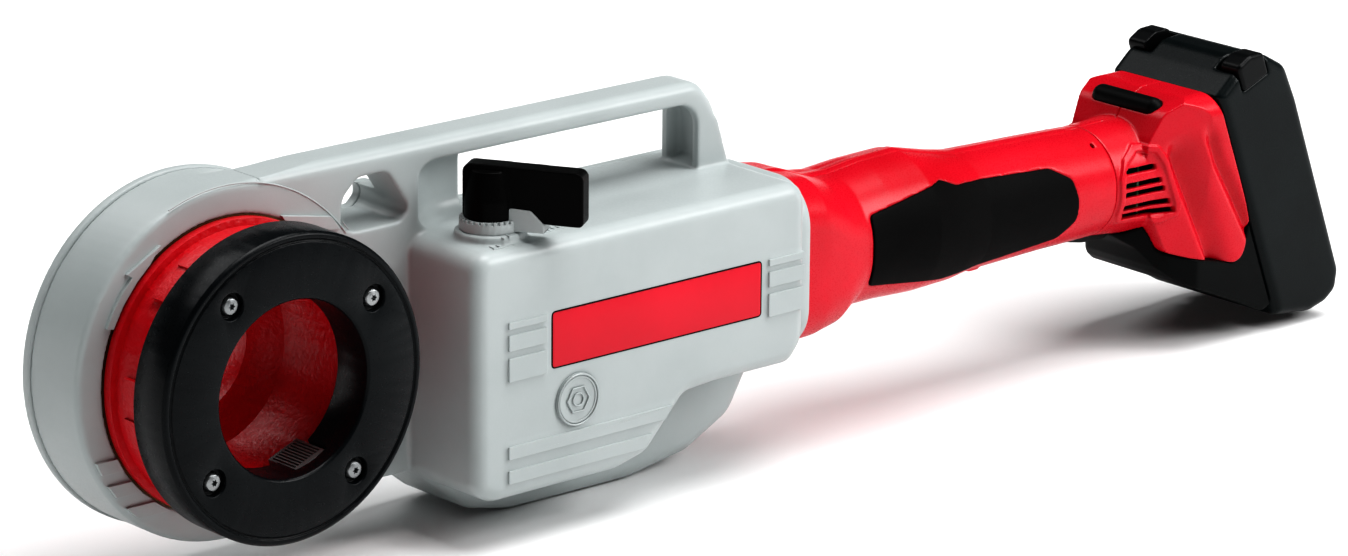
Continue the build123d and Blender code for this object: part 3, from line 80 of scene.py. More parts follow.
def textured(
    name, dark, light, rough, metallic=0.0, coat=0.0, grain=400.0, bump=0.02, bump_size=0.0002,
    blotch=12.0, streak=None, specular=0.5,
):
    """A material with blotchy colour, grainy roughness and a fine bump. Grain and blotch are per metre."""
    material = bpy.data.materials.new(name)
    material.use_nodes = True
    tree = material.node_tree
    shader = tree.nodes["Principled BSDF"]
    link = tree.links.new
    where = tree.nodes.new("ShaderNodeTexCoord")
    shader.inputs["Metallic"].default_value = metallic
    shader.inputs["Coat Weight"].default_value = coat
    shader.inputs["Coat Roughness"].default_value = COAT_ROUGHNESS
    shader.inputs["Specular IOR Level"].default_value = specular
    source = where.outputs["Object"]
    if streak:
        stretch = tree.nodes.new("ShaderNodeMapping")
        stretch.inputs["Scale"].default_value = streak
        link(source, stretch.inputs["Vector"])
        source = stretch.outputs["Vector"]
    cloud = tree.nodes.new("ShaderNodeTexNoise")
    cloud.inputs["Scale"].default_value = blotch
    cloud.inputs["Detail"].default_value = BLOTCH_DETAIL
    cloud.inputs["Roughness"].default_value = BLOTCH_ROUGHNESS
    link(source, cloud.inputs["Vector"])
    ramp = tree.nodes.new("ShaderNodeValToRGB")
    for stop, position, colour in zip(ramp.color_ramp.elements, BLOTCH_STOPS, (dark, light)):
        stop.position = position
        stop.color = (*colour, 1)
    link(cloud.outputs["Fac"], ramp.inputs["Fac"])
    link(ramp.outputs["Color"], shader.inputs["Base Color"])
    spread = tree.nodes.new("ShaderNodeMapRange")
    for socket, value in zip(("From Min", "From Max", "To Min", "To Max"), (*GRAIN_SPAN, *rough)):
        spread.inputs[socket].default_value = value
    speck = tree.nodes.new("ShaderNodeTexNoise")
    speck.inputs["Scale"].default_value = grain
    speck.inputs["Detail"].default_value = GRAIN_DETAIL
    link(source, speck.inputs["Vector"])
    link(speck.outputs["Fac"], spread.inputs["Value"])
    link(spread.outputs["Result"], shader.inputs["Roughness"])
    relief = tree.nodes.new("ShaderNodeBump")
    relief.inputs["Strength"].default_value = bump
    relief.inputs["Distance"].default_value = bump_size
    link(speck.outputs["Fac"], relief.inputs["Height"])
    link(relief.outputs["Normal"], shader.inputs["Normal"])
    return material


LOOKS = {
    "cast_body": textured(
        "cast_paint", (0.375, 0.41, 0.41), (0.415, 0.45, 0.45), (0.30, 0.42),
        specular=0.4, grain=900, bump=0.25, bump_size=0.0001,
    ),
    "cover_screw_steel": textured(
        "zinc_steel", (0.45, 0.45, 0.46), (0.62, 0.62, 0.63), (0.22, 0.4),
        metallic=1.0, grain=1500, bump=0.1,
    ),
    "label_red": textured(
        "label_red", (0.54, 0.004, 0.020), (0.61, 0.006, 0.026), (0.3, 0.4),
        specular=0.3, grain=700, bump=0.04,
    ),
    "medallion_metal": textured(
        "medallion_silver", (0.36, 0.395, 0.395), (0.42, 0.455, 0.455), (0.28, 0.4),
        metallic=0.15, grain=900, bump=0.1,
    ),
    "ring_red": textured(
        "ring_red", (0.46, 0.0015, 0.008), (0.62, 0.004, 0.016), (0.30, 0.46),
        specular=0.4, grain=420, bump=0.7, bump_size=0.0006,
    ),
    "flange_black": textured(
        "flange_black", (0.002, 0.003, 0.004), (0.005, 0.007, 0.008), (0.26, 0.36),
        specular=0.16, grain=900, bump=0.12, bump_size=0.0001,
    ),
    "screw_steel": textured(
        "screw_steel", (0.24, 0.25, 0.255), (0.38, 0.39, 0.395), (0.28, 0.42),
        metallic=1.0, grain=1800, bump=0.1,
    ),
    "latch_black": textured(
        "latch_grey", (0.075, 0.08, 0.08), (0.12, 0.125, 0.125), (0.3, 0.45),
        specular=0.5, grain=900, bump=0.1,
    ),
    "spring_steel": textured(
        "spring_steel", (0.4, 0.4, 0.42), (0.6, 0.6, 0.62), (0.2, 0.35),
        metallic=1.0, grain=1500,
    ),
    "bush_bronze": textured(
        "sintered_bronze", (0.10, 0.062, 0.032), (0.17, 0.105, 0.055), (0.4, 0.6),
        metallic=1.0, grain=900,
    ),
    "gear_steel": textured(
        "gear_steel", (0.36, 0.36, 0.38), (0.52, 0.52, 0.54), (0.25, 0.42),
        metallic=1.0, grain=1000,
    ),
    "bearing_steel": textured(
        "bearing_steel", (0.62, 0.62, 0.64), (0.78, 0.78, 0.80), (0.08, 0.2),
        metallic=1.0, grain=1800,
    ),
    "adapter_aluminium": textured(
        "diecast_aluminium", (0.5, 0.51, 0.52), (0.66, 0.67, 0.68), (0.35, 0.55),
        metallic=1.0, grain=600,
    ),
    "stator_steel": textured(
        "lamination_steel", (0.16, 0.16, 0.17), (0.28, 0.28, 0.30), (0.35, 0.5),
        metallic=1.0, grain=900, streak=(60, 1, 1),
    ),
    "winding_copper": textured(
        "enamelled_copper", (0.50, 0.20, 0.07), (0.70, 0.32, 0.12), (0.2, 0.35),
        metallic=1.0, grain=1200,
    ),
    "fan_plastic": textured(
        "fan_plastic", (0.02, 0.02, 0.02), (0.04, 0.04, 0.04), (0.4, 0.55),
        grain=900,
    ),
    "housing_red": textured(
        "housing_red", (0.47, 0.003, 0.014), (0.58, 0.006, 0.024), (0.24, 0.34),
        specular=0.28, grain=1400, bump=0.06, bump_size=0.0001,
    ),
    "grip_rubber": textured(
        "grip_rubber", (0.0015, 0.0015, 0.0015), (0.004, 0.004, 0.004), (0.55, 0.7),
        specular=0.08, grain=2200, bump=0.35, bump_size=0.0001,
    ),
    "foot_rubber": textured(
        "foot_rubber", (0.0015, 0.002, 0.002), (0.004, 0.005, 0.005), (0.42, 0.56),
        specular=0.10, grain=1800, bump=0.2, bump_size=0.0001,
    ),
    "paddle_black": textured(
        "paddle_black", (0.003, 0.003, 0.003), (0.007, 0.007, 0.007), (0.4, 0.55),
        specular=0.2, grain=1200, bump=0.1,
    ),
    "switch_plastic": textured(
        "switch_plastic", (0.03, 0.03, 0.035), (0.05, 0.05, 0.055), (0.4, 0.55),
        grain=900,
    ),
    "lead_insulation": textured(
        "lead_insulation", (0.05, 0.05, 0.06), (0.09, 0.09, 0.1), (0.4, 0.5),
        grain=900,
    ),
    "board_green": textured(
        "solder_mask", (0.015, 0.12, 0.05), (0.03, 0.18, 0.08), (0.25, 0.4),
        coat=0.4, grain=700,
    ),
    "terminal_plastic": textured(
        "terminal_plastic", (0.025, 0.025, 0.027), (0.04, 0.04, 0.043), (0.4, 0.55),
        grain=900,
    ),
    "contact_copper": textured(
        "plated_contacts", (0.62, 0.42, 0.2), (0.78, 0.56, 0.3), (0.18, 0.3),
        metallic=1.0, grain=1200,
    ),
    "battery_black": textured(
        "battery_black", (0.002, 0.004, 0.0045), (0.005, 0.009, 0.0095), (0.26, 0.38),
        specular=0.18, grain=1600, bump=0.2, bump_size=0.0001,
    ),
    "button_black": textured(
        "button_black", (0.002, 0.0025, 0.003), (0.006, 0.007, 0.007), (0.28, 0.42),
        specular=0.16, grain=1600, bump=0.1,
    ),
    "cell_wrap": textured(
        "cell_wrap", (0.05, 0.16, 0.32), (0.09, 0.24, 0.45), (0.2, 0.35),
        coat=0.3, grain=500,
    ),
    "knob_black": textured(
        "knob_black", (0.001, 0.001, 0.001), (0.003, 0.003, 0.003), (0.34, 0.48),
        specular=0.07, grain=1600, bump=0.08,
    ),
    "collar_grey": textured(
        "collar_grey", (0.37, 0.40, 0.40), (0.44, 0.47, 0.47), (0.4, 0.55),
        grain=1200, bump=0.1,
    ),
}
CAD_SHARP_ANGLE = 25


def shade(obj, sharp_angle=None):
    """Smooth shading, with edges that stay sharp over the given angle in degrees."""
    for face in obj.data.polygons:
        face.use_smooth = True
    if sharp_angle:
        obj.data.set_sharp_from_angle(angle=math.radians(sharp_angle))


for row in frame["record"]["subparts"]:
    node = nodes[row["node"]]
    node.data.materials.clear()
    node.data.materials.append(LOOKS[row["material_slot"]])
    shade(node, CAD_SHARP_ANGLE)

# ---------------------------------------------------------------- building blocks
RELAX = 0.5
FIRM_SHARE = 0.25
SHARP_ANGLE = 40
BEAD_STEPS = 2


def finish_piece(obj, look, body="machine", stands_for=()):
    """Gives a piece its material and its body, and hides the CAD nodes it stands for."""
    obj.data.materials.clear()
    obj.data.materials.append(LOOKS[look])
    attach(obj, body)
    if stands_for:
        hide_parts(*stands_for)


def add_object(name, data):
    obj = bpy.data.objects.new(name, data)
    bpy.context.scene.collection.objects.link(obj)
    return obj


def baked(obj):
    """Applies every modifier of a piece."""
    bpy.context.view_layer.update()
    seen = obj.evaluated_get(bpy.context.evaluated_depsgraph_get())
    mesh = bpy.data.meshes.new_from_object(seen)
    obj.modifiers.clear()
    obj.data = mesh


def from_bmesh(name, build):
    mesh = bpy.data.meshes.new(name)
    build.to_mesh(mesh)
    build.free()
    return add_object(name, mesh)


def places(mesh):
    """The mesh's vertices as an array, in millimetres."""
    where = np.empty(len(mesh.vertices) * 3)
    mesh.vertices.foreach_get("co", where)
    return where.reshape(-1, 3) / MM


def soft_copy(name, source, voxel, rounds, shape=None, firm=None):
    """A copy of a CAD node with its edges and inner corners rounded, as a casting or a moulding has them.
    firm says which vertices keep crisper edges, and shape moves the vertices afterwards."""
    build = bmesh.new()
    build.from_mesh(nodes[source].data)
    obj = from_bmesh(name, build)
    remesh = obj.modifiers.new("voxels", "REMESH")
    remesh.mode = "VOXEL"
    remesh.voxel_size = voxel * MM
    baked(obj)
    relax = obj.modifiers.new("soften", "SMOOTH")
    relax.factor = RELAX
    relax.iterations = rounds
    if firm:
        crisper = firm(places(obj.data))
        group = obj.vertex_groups.new(name="soft")
        group.add(np.flatnonzero(~crisper).tolist(), 1.0, "REPLACE")
        group.add(np.flatnonzero(crisper).tolist(), FIRM_SHARE, "REPLACE")
        relax.vertex_group = "soft"
    baked(obj)
    if shape:
        obj.data.vertices.foreach_set("co", (shape(places(obj.data)) * MM).ravel())
        obj.data.update()
    shade(obj)
    return obj


def slab(name, outline, back, front, bevel=0.5):
    """A raised panel: an XZ outline in millimetres, from one Y to another, with rounded edges."""
    build = bmesh.new()
    ring = [build.verts.new((x * MM, back * MM, z * MM)) for x, z in outline]
    face = build.faces.new(ring)
    moved = bmesh.ops.extrude_face_region(build, geom=[face])
    top = [v for v in moved["geom"] if isinstance(v, bmesh.types.BMVert)]
    for vertex in top:
        vertex.co.y = front * MM
    bmesh.ops.recalc_face_normals(build, faces=build.faces)
    edges = [e for e in build.edges if any(v in top for v in e.verts)]
    bmesh.ops.bevel(build, geom=edges, offset=bevel * MM, segments=3, affect="EDGES", profile=0.5)
    obj = from_bmesh(name, build)
    shade(obj, SHARP_ANGLE)
    for face in obj.data.polygons:
        face.use_smooth = abs(face.normal.y) < 0.99  # the two big faces stay flat
    return obj


def rounded(outline, radius, steps=4):
    """The outline with its corners rounded off."""
    points = []
    for i in range(len(outline)):
        before, corner, after = (Vector(outline[j % len(outline)]) for j in (i - 1, i, i + 1))
        first = (before - corner).normalized() * radius
        last = (after - corner).normalized() * radius
        for k in range(steps + 1):
            t = k / steps
            points.append(tuple(corner + first * (1 - t) ** 2 + last * t**2))
    return points


def tube(name, points, radius, closed=False):
    """A thin round bead along points given in millimetres."""
    curve = bpy.data.curves.new(name, "CURVE")
    curve.dimensions = "3D"
    curve.bevel_depth = radius * MM
    curve.bevel_resolution = BEAD_STEPS
    curve.use_fill_caps = True
    line = curve.splines.new("POLY")
    line.points.add(len(points) - 1)
    for point, place in zip(line.points, points):
        point.co = (*(c * MM for c in place), 1)
    line.use_cyclic_u = closed
    holder = add_object(name + "_path", curve)
    bpy.context.view_layer.update()
    mesh = bpy.data.meshes.new_from_object(holder.evaluated_get(bpy.context.evaluated_depsgraph_get()))
    bpy.data.objects.remove(holder)
    obj = add_object(name, mesh)
    shade(obj)
    return obj


def joined(name, parts):
    """One piece from several that share a look and a body."""
    build = bmesh.new()
    for part in parts:
        build.from_mesh(part.data)
        bpy.data.objects.remove(part)
    return from_bmesh(name, build)


def crisp(name, width):
    """Breaks the sharp edges of a carried-over CAD node, by a width in millimetres."""
    weld = nodes[name].modifiers.new("weld", "WELD")
    weld.merge_threshold = 0.01 * MM
    bevel = nodes[name].modifiers.new("edges", "BEVEL")
    bevel.width = width * MM
    bevel.segments = 2
    bevel.limit_method = "ANGLE"
    bevel.angle_limit = math.radians(30)
    bevel.harden_normals = True


def box_mm(name):
    """A node's lowest and highest corners at rest, in millimetres."""
    low_corner, high_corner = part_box(name)
    return low_corner / MM, high_corner / MM


# ---------------------------------------------------------------- castings and mouldings
tail_low, tail_high = box_mm("tail_shell_near")
SEAT_TOP = Vector((tail_low.x + 64.0, 0, tail_high.z - 3.7))  # the battery's seat starts here
SEAT_LEAN = math.radians(21.7)
# where the valley and the groove lie in front of the seat, how deep they are, and how wide
VALLEY_OUT, VALLEY_DEPTH, VALLEY_FRONT, VALLEY_REAR = -31.5, 7.5, 4.0, 8.0
GROOVE_OUT, GROOVE_DEPTH, GROOVE_WIDTH, GROOVE_SLANT = -11, 4.2, 3.4, 0.17


def ease(value, start, end):
    """0 at start, 1 at end, and smooth between them."""
    t = np.clip((value - start) / (end - start), 0, 1)
    return t * t * (3 - 2 * t)


def tail_shape(where):
    """Sinks a valley behind the vents and a groove that slants back towards the battery, with a ridge between.
    out is the distance from the seat's plane, and down the distance along it."""
    x, y, z = where.T
    out = (x - SEAT_TOP.x) * math.cos(SEAT_LEAN) + (z - SEAT_TOP.z) * math.sin(SEAT_LEAN)
    down = (x - SEAT_TOP.x) * math.sin(SEAT_LEAN) - (z - SEAT_TOP.z) * math.cos(SEAT_LEAN)
    flank = ease(np.abs(y), 12, 24) * ease(down, 4, 20) * ease(out, 9.0, 5.0)
    from_valley = out - VALLEY_OUT
    valley = VALLEY_DEPTH * np.exp(-((from_valley / np.where(from_valley < 0, VALLEY_FRONT, VALLEY_REAR)) ** 2))
    from_groove = out - GROOVE_OUT - GROOVE_SLANT * np.maximum(down - 30, 0)
    groove = GROOVE_DEPTH * np.exp(-((from_groove / GROOVE_WIDTH) ** 2))
    moved = where.copy()
    moved[:, 1] = y - np.sign(y) * flank * np.maximum(valley, groove)
    return moved


top_of_case = box_mm("gear_case")[1].z
head_face = box_mm("ring_bush_front")[0].y - 0.2  # the ring housing's front stands proud of the bush
WINDOW_END, WINDOW_MIDDLE = 285.0, 17.0  # X of the handle window's right end, and Y of the bar's middle
HOLLOW_DEPTH, HOLLOW_WIDTH = 7.0, 5.0
DRUM_R = 84.0  # the ring housing's top, where the handle bar runs out on it
BAR_BOTTOM = 76  # Z


def case_shape(where):
    """Hollows the right inner end of the handle window, lets the bar run out on top of the ring housing, and
    keeps the housing's face flat."""
    x, y, z = where.T
    near = np.exp(-(((x - WINDOW_END) / HOLLOW_WIDTH) ** 2))
    span = ease(np.abs(y - WINDOW_MIDDLE), 9.5, 6.5) * ease(z, 42, 46) * ease(z, BAR_BOTTOM, 71)
    moved = where.copy()
    moved[:, 0] = x + HOLLOW_DEPTH * near * span
    drum = np.sqrt(np.maximum(DRUM_R**2 - x**2, 0))
    band = ease(y, 3, 8) * ease(y, 31, 27)
    skin_top = (x > 0) & (x < 20) & (z > drum - 2.5) & (z < drum + 0.8)
    lifted = np.where(skin_top, z + (DRUM_R - drum) * band, z)
    limit = DRUM_R + (top_of_case - DRUM_R) * ease(x, 18, 60)
    moved[:, 2] = np.where((x > 0) & (z > BAR_BOTTOM), np.minimum(lifted, limit), lifted)
    face = (np.hypot(x, z) < DRUM_R) & (y < head_face)
    moved[:, 1] = np.where(face, head_face, y)
    return moved


def case_firm(where):
    """The face of the ring housing and the parting line keep crisper edges."""
    x, y, z = where.T
    return ((np.hypot(x, z) < 90) & (y < 8)) | (y > 37)


cast = soft_copy("gear_case_cast", "gear_case", 0.9, 9, case_shape, case_firm)
finish_piece(cast, "cast_body", stands_for=["gear_case"])
cover = soft_copy("rear_cover_cast", "rear_cover", 0.9, 3)
finish_piece(cover, "cast_body", stands_for=["rear_cover"])
for side in ("near", "far"):
    shell = soft_copy(f"barrel_{side}", f"motor_housing_{side}", 0.8, 5)
    finish_piece(shell, "housing_red", stands_for=[f"motor_housing_{side}"])
    grip = soft_copy(f"grip_{side}", f"soft_grip_{side}", 0.5, 3)
    finish_piece(grip, "grip_rubber", stands_for=[f"soft_grip_{side}"])
    tail = soft_copy(f"tail_{side}", f"tail_shell_{side}", 0.55, 4, tail_shape)
    finish_piece(tail, "housing_red", stands_for=[f"tail_shell_{side}"])
foot = soft_copy("foot_moulding", "tail_foot", 0.9, 8)
finish_piece(foot, "foot_rubber", stands_for=["tail_foot"])
pack = soft_copy("battery_moulding", "battery_case", 0.9, 8)
finish_piece(pack, "battery_black", "battery", ["battery_case"])
knob = soft_copy("knob_wing", "direction_knob", 0.45, 7)
finish_piece(knob, "knob_black", "selector", ["direction_knob"])
for side in ("near", "far"):
    button = soft_copy(f"button_{side}", f"release_button_{side}", 0.5, 4)
    finish_piece(button, "button_black", f"button_{side}", [f"release_button_{side}"])


def spring_copy(name, source, body, axis):
    """A copy of a spring node in spring steel, on its body; it does not shorten with its joint. The anchor, the end
    furthest along the axis, is found but nothing uses it.
    """
    obj = add_object(name, nodes[source].data.copy())
    shade(obj)
    finish_piece(obj, "spring_steel", body, [source])
    direction = Vector(axis).normalized()
    anchor = max((v.co for v in obj.data.vertices), key=lambda place: place.dot(direction)).copy()
    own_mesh(obj)


latch_axis = Vector(next(j for j in frame["joints"] if j["name"] == "latch_slide")["axis"])
spring_copy("latch_coil", "latch_spring", "drive_ring", latch_axis)
spring_copy("paddle_coil", "paddle_spring", "machine", (0, 0, 1))

EDGE_BREAKS = {
    "drive_ring": 0.5, "die_flange": 0.5, "flange_screws": 0.2, "latch": 0.25, "knob_collar": 0.3,
    "label_plate": 0.3, "medallion": 0.25, "cover_screws": 0.2, "housing_screws": 0.15, "paddle_switch": 0.4,
}
for node_name, width in EDGE_BREAKS.items():
    crisp(node_name, width)

# ---------------------------------------------------------------- raised detail of the gearbox front
plate_low, plate_high = box_mm("label_plate")
front = box_mm("gear_case")[0].y + 0.8  # the face that carries the label stands back from the node's front
back_face = box_mm("rear_cover")[1].y
# lowest and highest Z of the short ribs; the long ones give right ends, highest and lowest Z
RIB_ROWS = [(3.8, 7.2), (-6.8, 0.9), (-21.7, -10.2)]
RIB_WIDE, RIB_PROUD, RIB_BEVEL = 23, 1.5, 0.22
LONG_RIBS = [(225.7, 220.1, -53.3, -59.7), (212.5, 208.2, -65.1, -71.6)]
BACK_RIB_ROWS = (-56.0, -42.0, -28.0)
GAP = 0.35  # between the label plate and the bead round it


def rectangle(left, right_end, low_z, high_z):
    return [(left, low_z), (right_end, low_z), (right_end, high_z), (left, high_z)]


def case_rib(outline):
    return slab("rib", rounded(outline, 0.6), front + 0.6, front - RIB_PROUD, RIB_BEVEL)


ribs = []
for left in (plate_low.x - 27.5, plate_high.x + 4.5):
    ribs += [case_rib(rectangle(left, left + RIB_WIDE, low_z, high_z)) for low_z, high_z in RIB_ROWS]
left = plate_low.x - 27.6
for top_right, bottom_right, high_z, low_z in LONG_RIBS:
    ribs.append(case_rib([(left, high_z), (left, low_z), (bottom_right, low_z), (top_right, high_z)]))
finish_piece(joined("front_ribs", ribs), "cast_body")

back_ribs = []
for rise in BACK_RIB_ROWS:
    step = rise - BACK_RIB_ROWS[0]
    left, right_end = 132.0 - 0.4 * step, 262.0 + 0.9 * step
    outline = [(left, rise), (right_end, rise), (right_end + 3.6, rise + 4.0), (left, rise + 4.0)]
    back_ribs.append(slab("rib", rounded(outline, 0.8)[::-1], back_face - 0.8, back_face + 1.4, 0.3))
finish_piece(joined("back_ribs", back_ribs), "cast_body")

# a near-black bead in the grip rubber look round the label plate paints the shadow in the gap of its recess
plate_edge = rectangle(plate_low.x - GAP, plate_high.x + GAP, plate_low.z - GAP, plate_high.z + GAP)
gap_shadow_bead = tube("label_gap_shadow", [(x, plate_low.y + 0.25, z) for x, z in rounded(plate_edge, 2.0)], 0.42, True)
finish_piece(gap_shadow_bead, "grip_rubber")

# a dark screen behind the vent slots of the tail, so that no light comes straight through; its near-black rubber look
# paints the shade inside the tail
bumper_low, bumper_high = box_mm("top_bumper")
vent_x, vent_z = (bumper_low.x + bumper_high.x) / 2, (bumper_low.z + bumper_high.z) / 2
screen_edge = rectangle(vent_x - 32.5, vent_x + 6, vent_z - 55, vent_z - 24)
SCREEN_RAIL_DROPS = (31.2, 37.3, 43.3, 49.3)
screens = []
for side in (-1, 1):
    screens.append(slab("screen_plate", rounded(screen_edge, 3.0), side * 11.5, side * 13))
    for drop in SCREEN_RAIL_DROPS:
        rail = [(vent_x - 31, side * 13.2, vent_z - drop), (vent_x + 4.5, side * 13.2, vent_z - drop)]
        screens.append(tube("screen_rail", rail, 0.5))
finish_piece(joined("vent_shade_screen", screens), "grip_rubber")

coin_low, coin_high = box_mm("medallion")
coin_x, coin_z = (coin_low.x + coin_high.x) / 2, (coin_low.z + coin_high.z) / 2
coin_r = (coin_high.x - coin_low.x) / 2


def coin_bead(radius, thick, sides=64):
    """A closed bead on the medallion: a circle, or a polygon when it has few sides."""
    turns = [math.radians(360 * k / sides) for k in range(sides)]
    points = [(coin_x + radius * math.cos(t), coin_low.y, coin_z + radius * math.sin(t)) for t in turns]
    return tube("bead", points, thick, True)


relief = [coin_bead(coin_r - 0.6, 0.5), coin_bead(coin_r * 0.52, 0.42, 6), coin_bead(coin_r * 0.24, 0.36)]
finish_piece(joined("medallion_relief", relief), "medallion_metal")

# ---------------------------------------------------------------- raised detail of the ring housing
ARROW = [  # radius and angle round the bore's axis
    (70.6, 155.4), (74.5, 155.9), (74.5, 149), (74.5, 142), (74.3, 136),
    (77.6, 136.5), (73.9, 120.4), (70.7, 128), (70.6, 136), (70.6, 146),
]
HEAD_RIB_ROWS = [(-37.8, -31.4), (-50.0, -43.6), (-62.2, -56.0)]
HEAD_RIB_INNER, HEAD_RIB_OUTER = 71.0, 81.4
HEAD_BAR = [(32, 62.6), (30.5, 65.0), (59.0, 59.6), (64.6, 52.2), (57.4, 53.4)]


def polar(radius, angle):
    return (radius * math.cos(math.radians(angle)), radius * math.sin(math.radians(angle)))


def head_panel(outline):
    return slab("panel", outline, head_face + 0.8, head_face - 1.7, 0.2)


def housing_bead(radius, start, end, steps, thick):
    """A bead along an arc on the face of the ring housing."""
    angles = [start + (end - start) * k / steps for k in range(steps + 1)]
    places_round = [polar(radius, angle) for angle in angles]
    return tube("bead", [(x, head_face, z) for x, z in places_round], thick)


head_parts = [head_panel([polar(*corner) for corner in ARROW[::-1]])]
for low_z, high_z in HEAD_RIB_ROWS:
    levels = (high_z, (high_z + low_z) / 2, low_z)
    inner = [(-math.sqrt(HEAD_RIB_INNER**2 - z * z), z) for z in levels]
    outer = [(-math.sqrt(HEAD_RIB_OUTER**2 - z * z), z) for z in levels[::-1]]
    head_parts.append(head_panel(rounded(inner + outer, 0.5, 2)))
head_parts.append(head_panel(rounded(HEAD_BAR, 0.8)))
finish_piece(joined("ring_housing_ribs", head_parts), "cast_body")
boss = [housing_bead(84.6, 36, 112, 70, 0.42), housing_bead(86.6, 36, 40, 6, 0.3)]
finish_piece(joined("ring_housing_boss_edge", boss), "cast_body")

# ---------------------------------------------------------------- knob: grey heel under the wing, marks on the case
collar_low, collar_high = box_mm("knob_collar")
collar_x, collar_y = (collar_low.x + collar_high.x) / 2, (collar_low.y + collar_high.y) / 2
# the heel from the side: distance from the knob's axis, and height over the foot of the collar
HEEL = [(9, 0.4), (9, 11), (12, 11.4), (21, 10.8), (27.5, 4.4), (27.5, 0.4)]
HEEL_HALF, HEEL_HEADING = 6.5, math.radians(-55)
heel = slab("knob_heel", rounded(HEEL, 0.7), HEEL_HALF, -HEEL_HALF, 0.6)
heel.location = Vector((collar_x, collar_y, collar_low.z)) * MM
heel.rotation_euler = (0, 0, HEEL_HEADING)
finish_piece(heel, "collar_grey", "selector")

case_skin = BVHTree.FromObject(cast, bpy.context.evaluated_depsgraph_get())
RAY_TOP = 0.2  # metres, above everything
MARK_GROUPS = [(-12, -15.6, -7.2, -18.4), (24, -9.0, 28.8, -11.8)]  # first tick and bar, from the knob's axis
MARK_PITCH = 3.2


def level_at(skin, x, y):
    """How high a skin's top is at this place, in millimetres."""
    return skin.ray_cast(Vector((x * MM, y * MM, RAY_TOP)), Vector((0, 0, -1)))[0].z / MM


def mark(x, y, long, wide, turn=0):
    """A low raised bar on the top of the case, by its centre, size and heading in degrees."""
    half_long, half_wide = long / 2, wide / 2
    outline = [(-half_long, -half_wide), (-half_long, half_wide), (half_long, half_wide), (half_long, -half_wide)]
    bar = slab("mark", rounded(outline, 0.25, 2), 0.5, -0.45, 0.15)
    lay_flat = Matrix.Rotation(math.radians(turn), 4, "Z") @ Matrix.Rotation(math.radians(-90), 4, "X")
    bar.data.transform(Matrix.Translation(Vector((x, y, level_at(case_skin, x, y))) * MM) @ lay_flat)
    return bar


ticks, bars = [], []
for tick_x, tick_y, bar_x, bar_y in MARK_GROUPS:
    ticks += [mark(collar_x + tick_x + MARK_PITCH * k, collar_y + tick_y, 3.4, 0.9, 90) for k in range(4)]
    bars.append(mark(collar_x + bar_x, collar_y + bar_y, 12.6, 0.8))
finish_piece(joined("knob_marks", ticks + bars), "cast_body")

# ---------------------------------------------------------------- drive ring dogs, barrel collar and spine
CORNER_STEPS = 14


def rounded_loop(x, half_width, low_z, high_z, corner):
    """A rounded rectangle across X."""
    points = []
    for number, (side, rise) in enumerate([(1, 1), (-1, 1), (-1, -1), (1, -1)]):
        cy = side * (half_width - corner)
        cz = (high_z - corner) if rise > 0 else (low_z + corner)
        for k in range(CORNER_STEPS + 1):
            angle = math.radians(90 * (number + k / CORNER_STEPS))
            points.append((x, cy + corner * math.cos(angle), cz + corner * math.sin(angle)))
    return points


def loft_rings(name, rings, caps=False):
    """A skin over closed rings of points in millimetres."""
    build = bmesh.new()
    rows = [[build.verts.new(tuple(c * MM for c in p)) for p in ring] for ring in rings]
    count = len(rows[0])
    for first, second in zip(rows, rows[1:]):
        for k in range(count):
            j = (k + 1) % count
            build.faces.new((first[k], first[j], second[j], second[k]))
    if caps:
        build.faces.new(rows[0])
        build.faces.new(rows[-1])
    bmesh.ops.recalc_face_normals(build, faces=build.faces)
    obj = from_bmesh(name, build)
    shade(obj, SHARP_ANGLE)
    return obj


DOG_CHAMFER, DOG_INNER, DOG_BACK = 0.5, 65.0, -9.5
ring_front = box_mm("drive_ring")[0].y


def ring_dog(start, end, outer, front_y):
    """A raised block on the drive ring, from one angle to another."""
    steps = max(2, int((end - start) / 2))
    section = [
        (DOG_INNER, front_y), (outer - DOG_CHAMFER, front_y), (outer, front_y + DOG_CHAMFER),
        (outer, DOG_BACK - DOG_CHAMFER), (outer - DOG_CHAMFER, DOG_BACK), (DOG_INNER, DOG_BACK),
    ]
    rows = []
    for k in range(steps + 1):
        angle = math.radians(start + (end - start) * k / steps)
        rows.append([(r * math.cos(angle), y, r * math.sin(angle)) for r, y in section])
    return loft_rings("dog", rows, caps=True)


dogs = []
for turn in range(0, 360, 60):
    dogs.append(ring_dog(turn + 111, turn + 123, 68.8, ring_front + 0.2))
    dogs.append(ring_dog(turn + 127, turn + 139, 68.8, ring_front + 0.2))
    dogs.append(ring_dog(turn + 122, turn + 128, 67.6, ring_front + 4.0))
finish_piece(joined("ring_dogs", dogs), "ring_red", "drive_ring")

barrel_low, barrel_high = box_mm("motor_housing_near")
# how far along the barrel each ring of the collar is, and how far it stands out
COLLAR_STATIONS = [(-3, -3), (-3, 0.4), (3.2, 0.9), (6.2, 0.9), (7.4, 0.2), (7.6, -2.5), (-2.9, -3)]
COLLAR_CORNER = 22
rings = [
    rounded_loop(
        barrel_low.x + x, grow - barrel_low.y, barrel_low.z - grow, barrel_high.z + grow, COLLAR_CORNER + grow,
    )
    for x, grow in COLLAR_STATIONS
]
finish_piece(loft_rings("barrel_collar", rings), "cast_body")

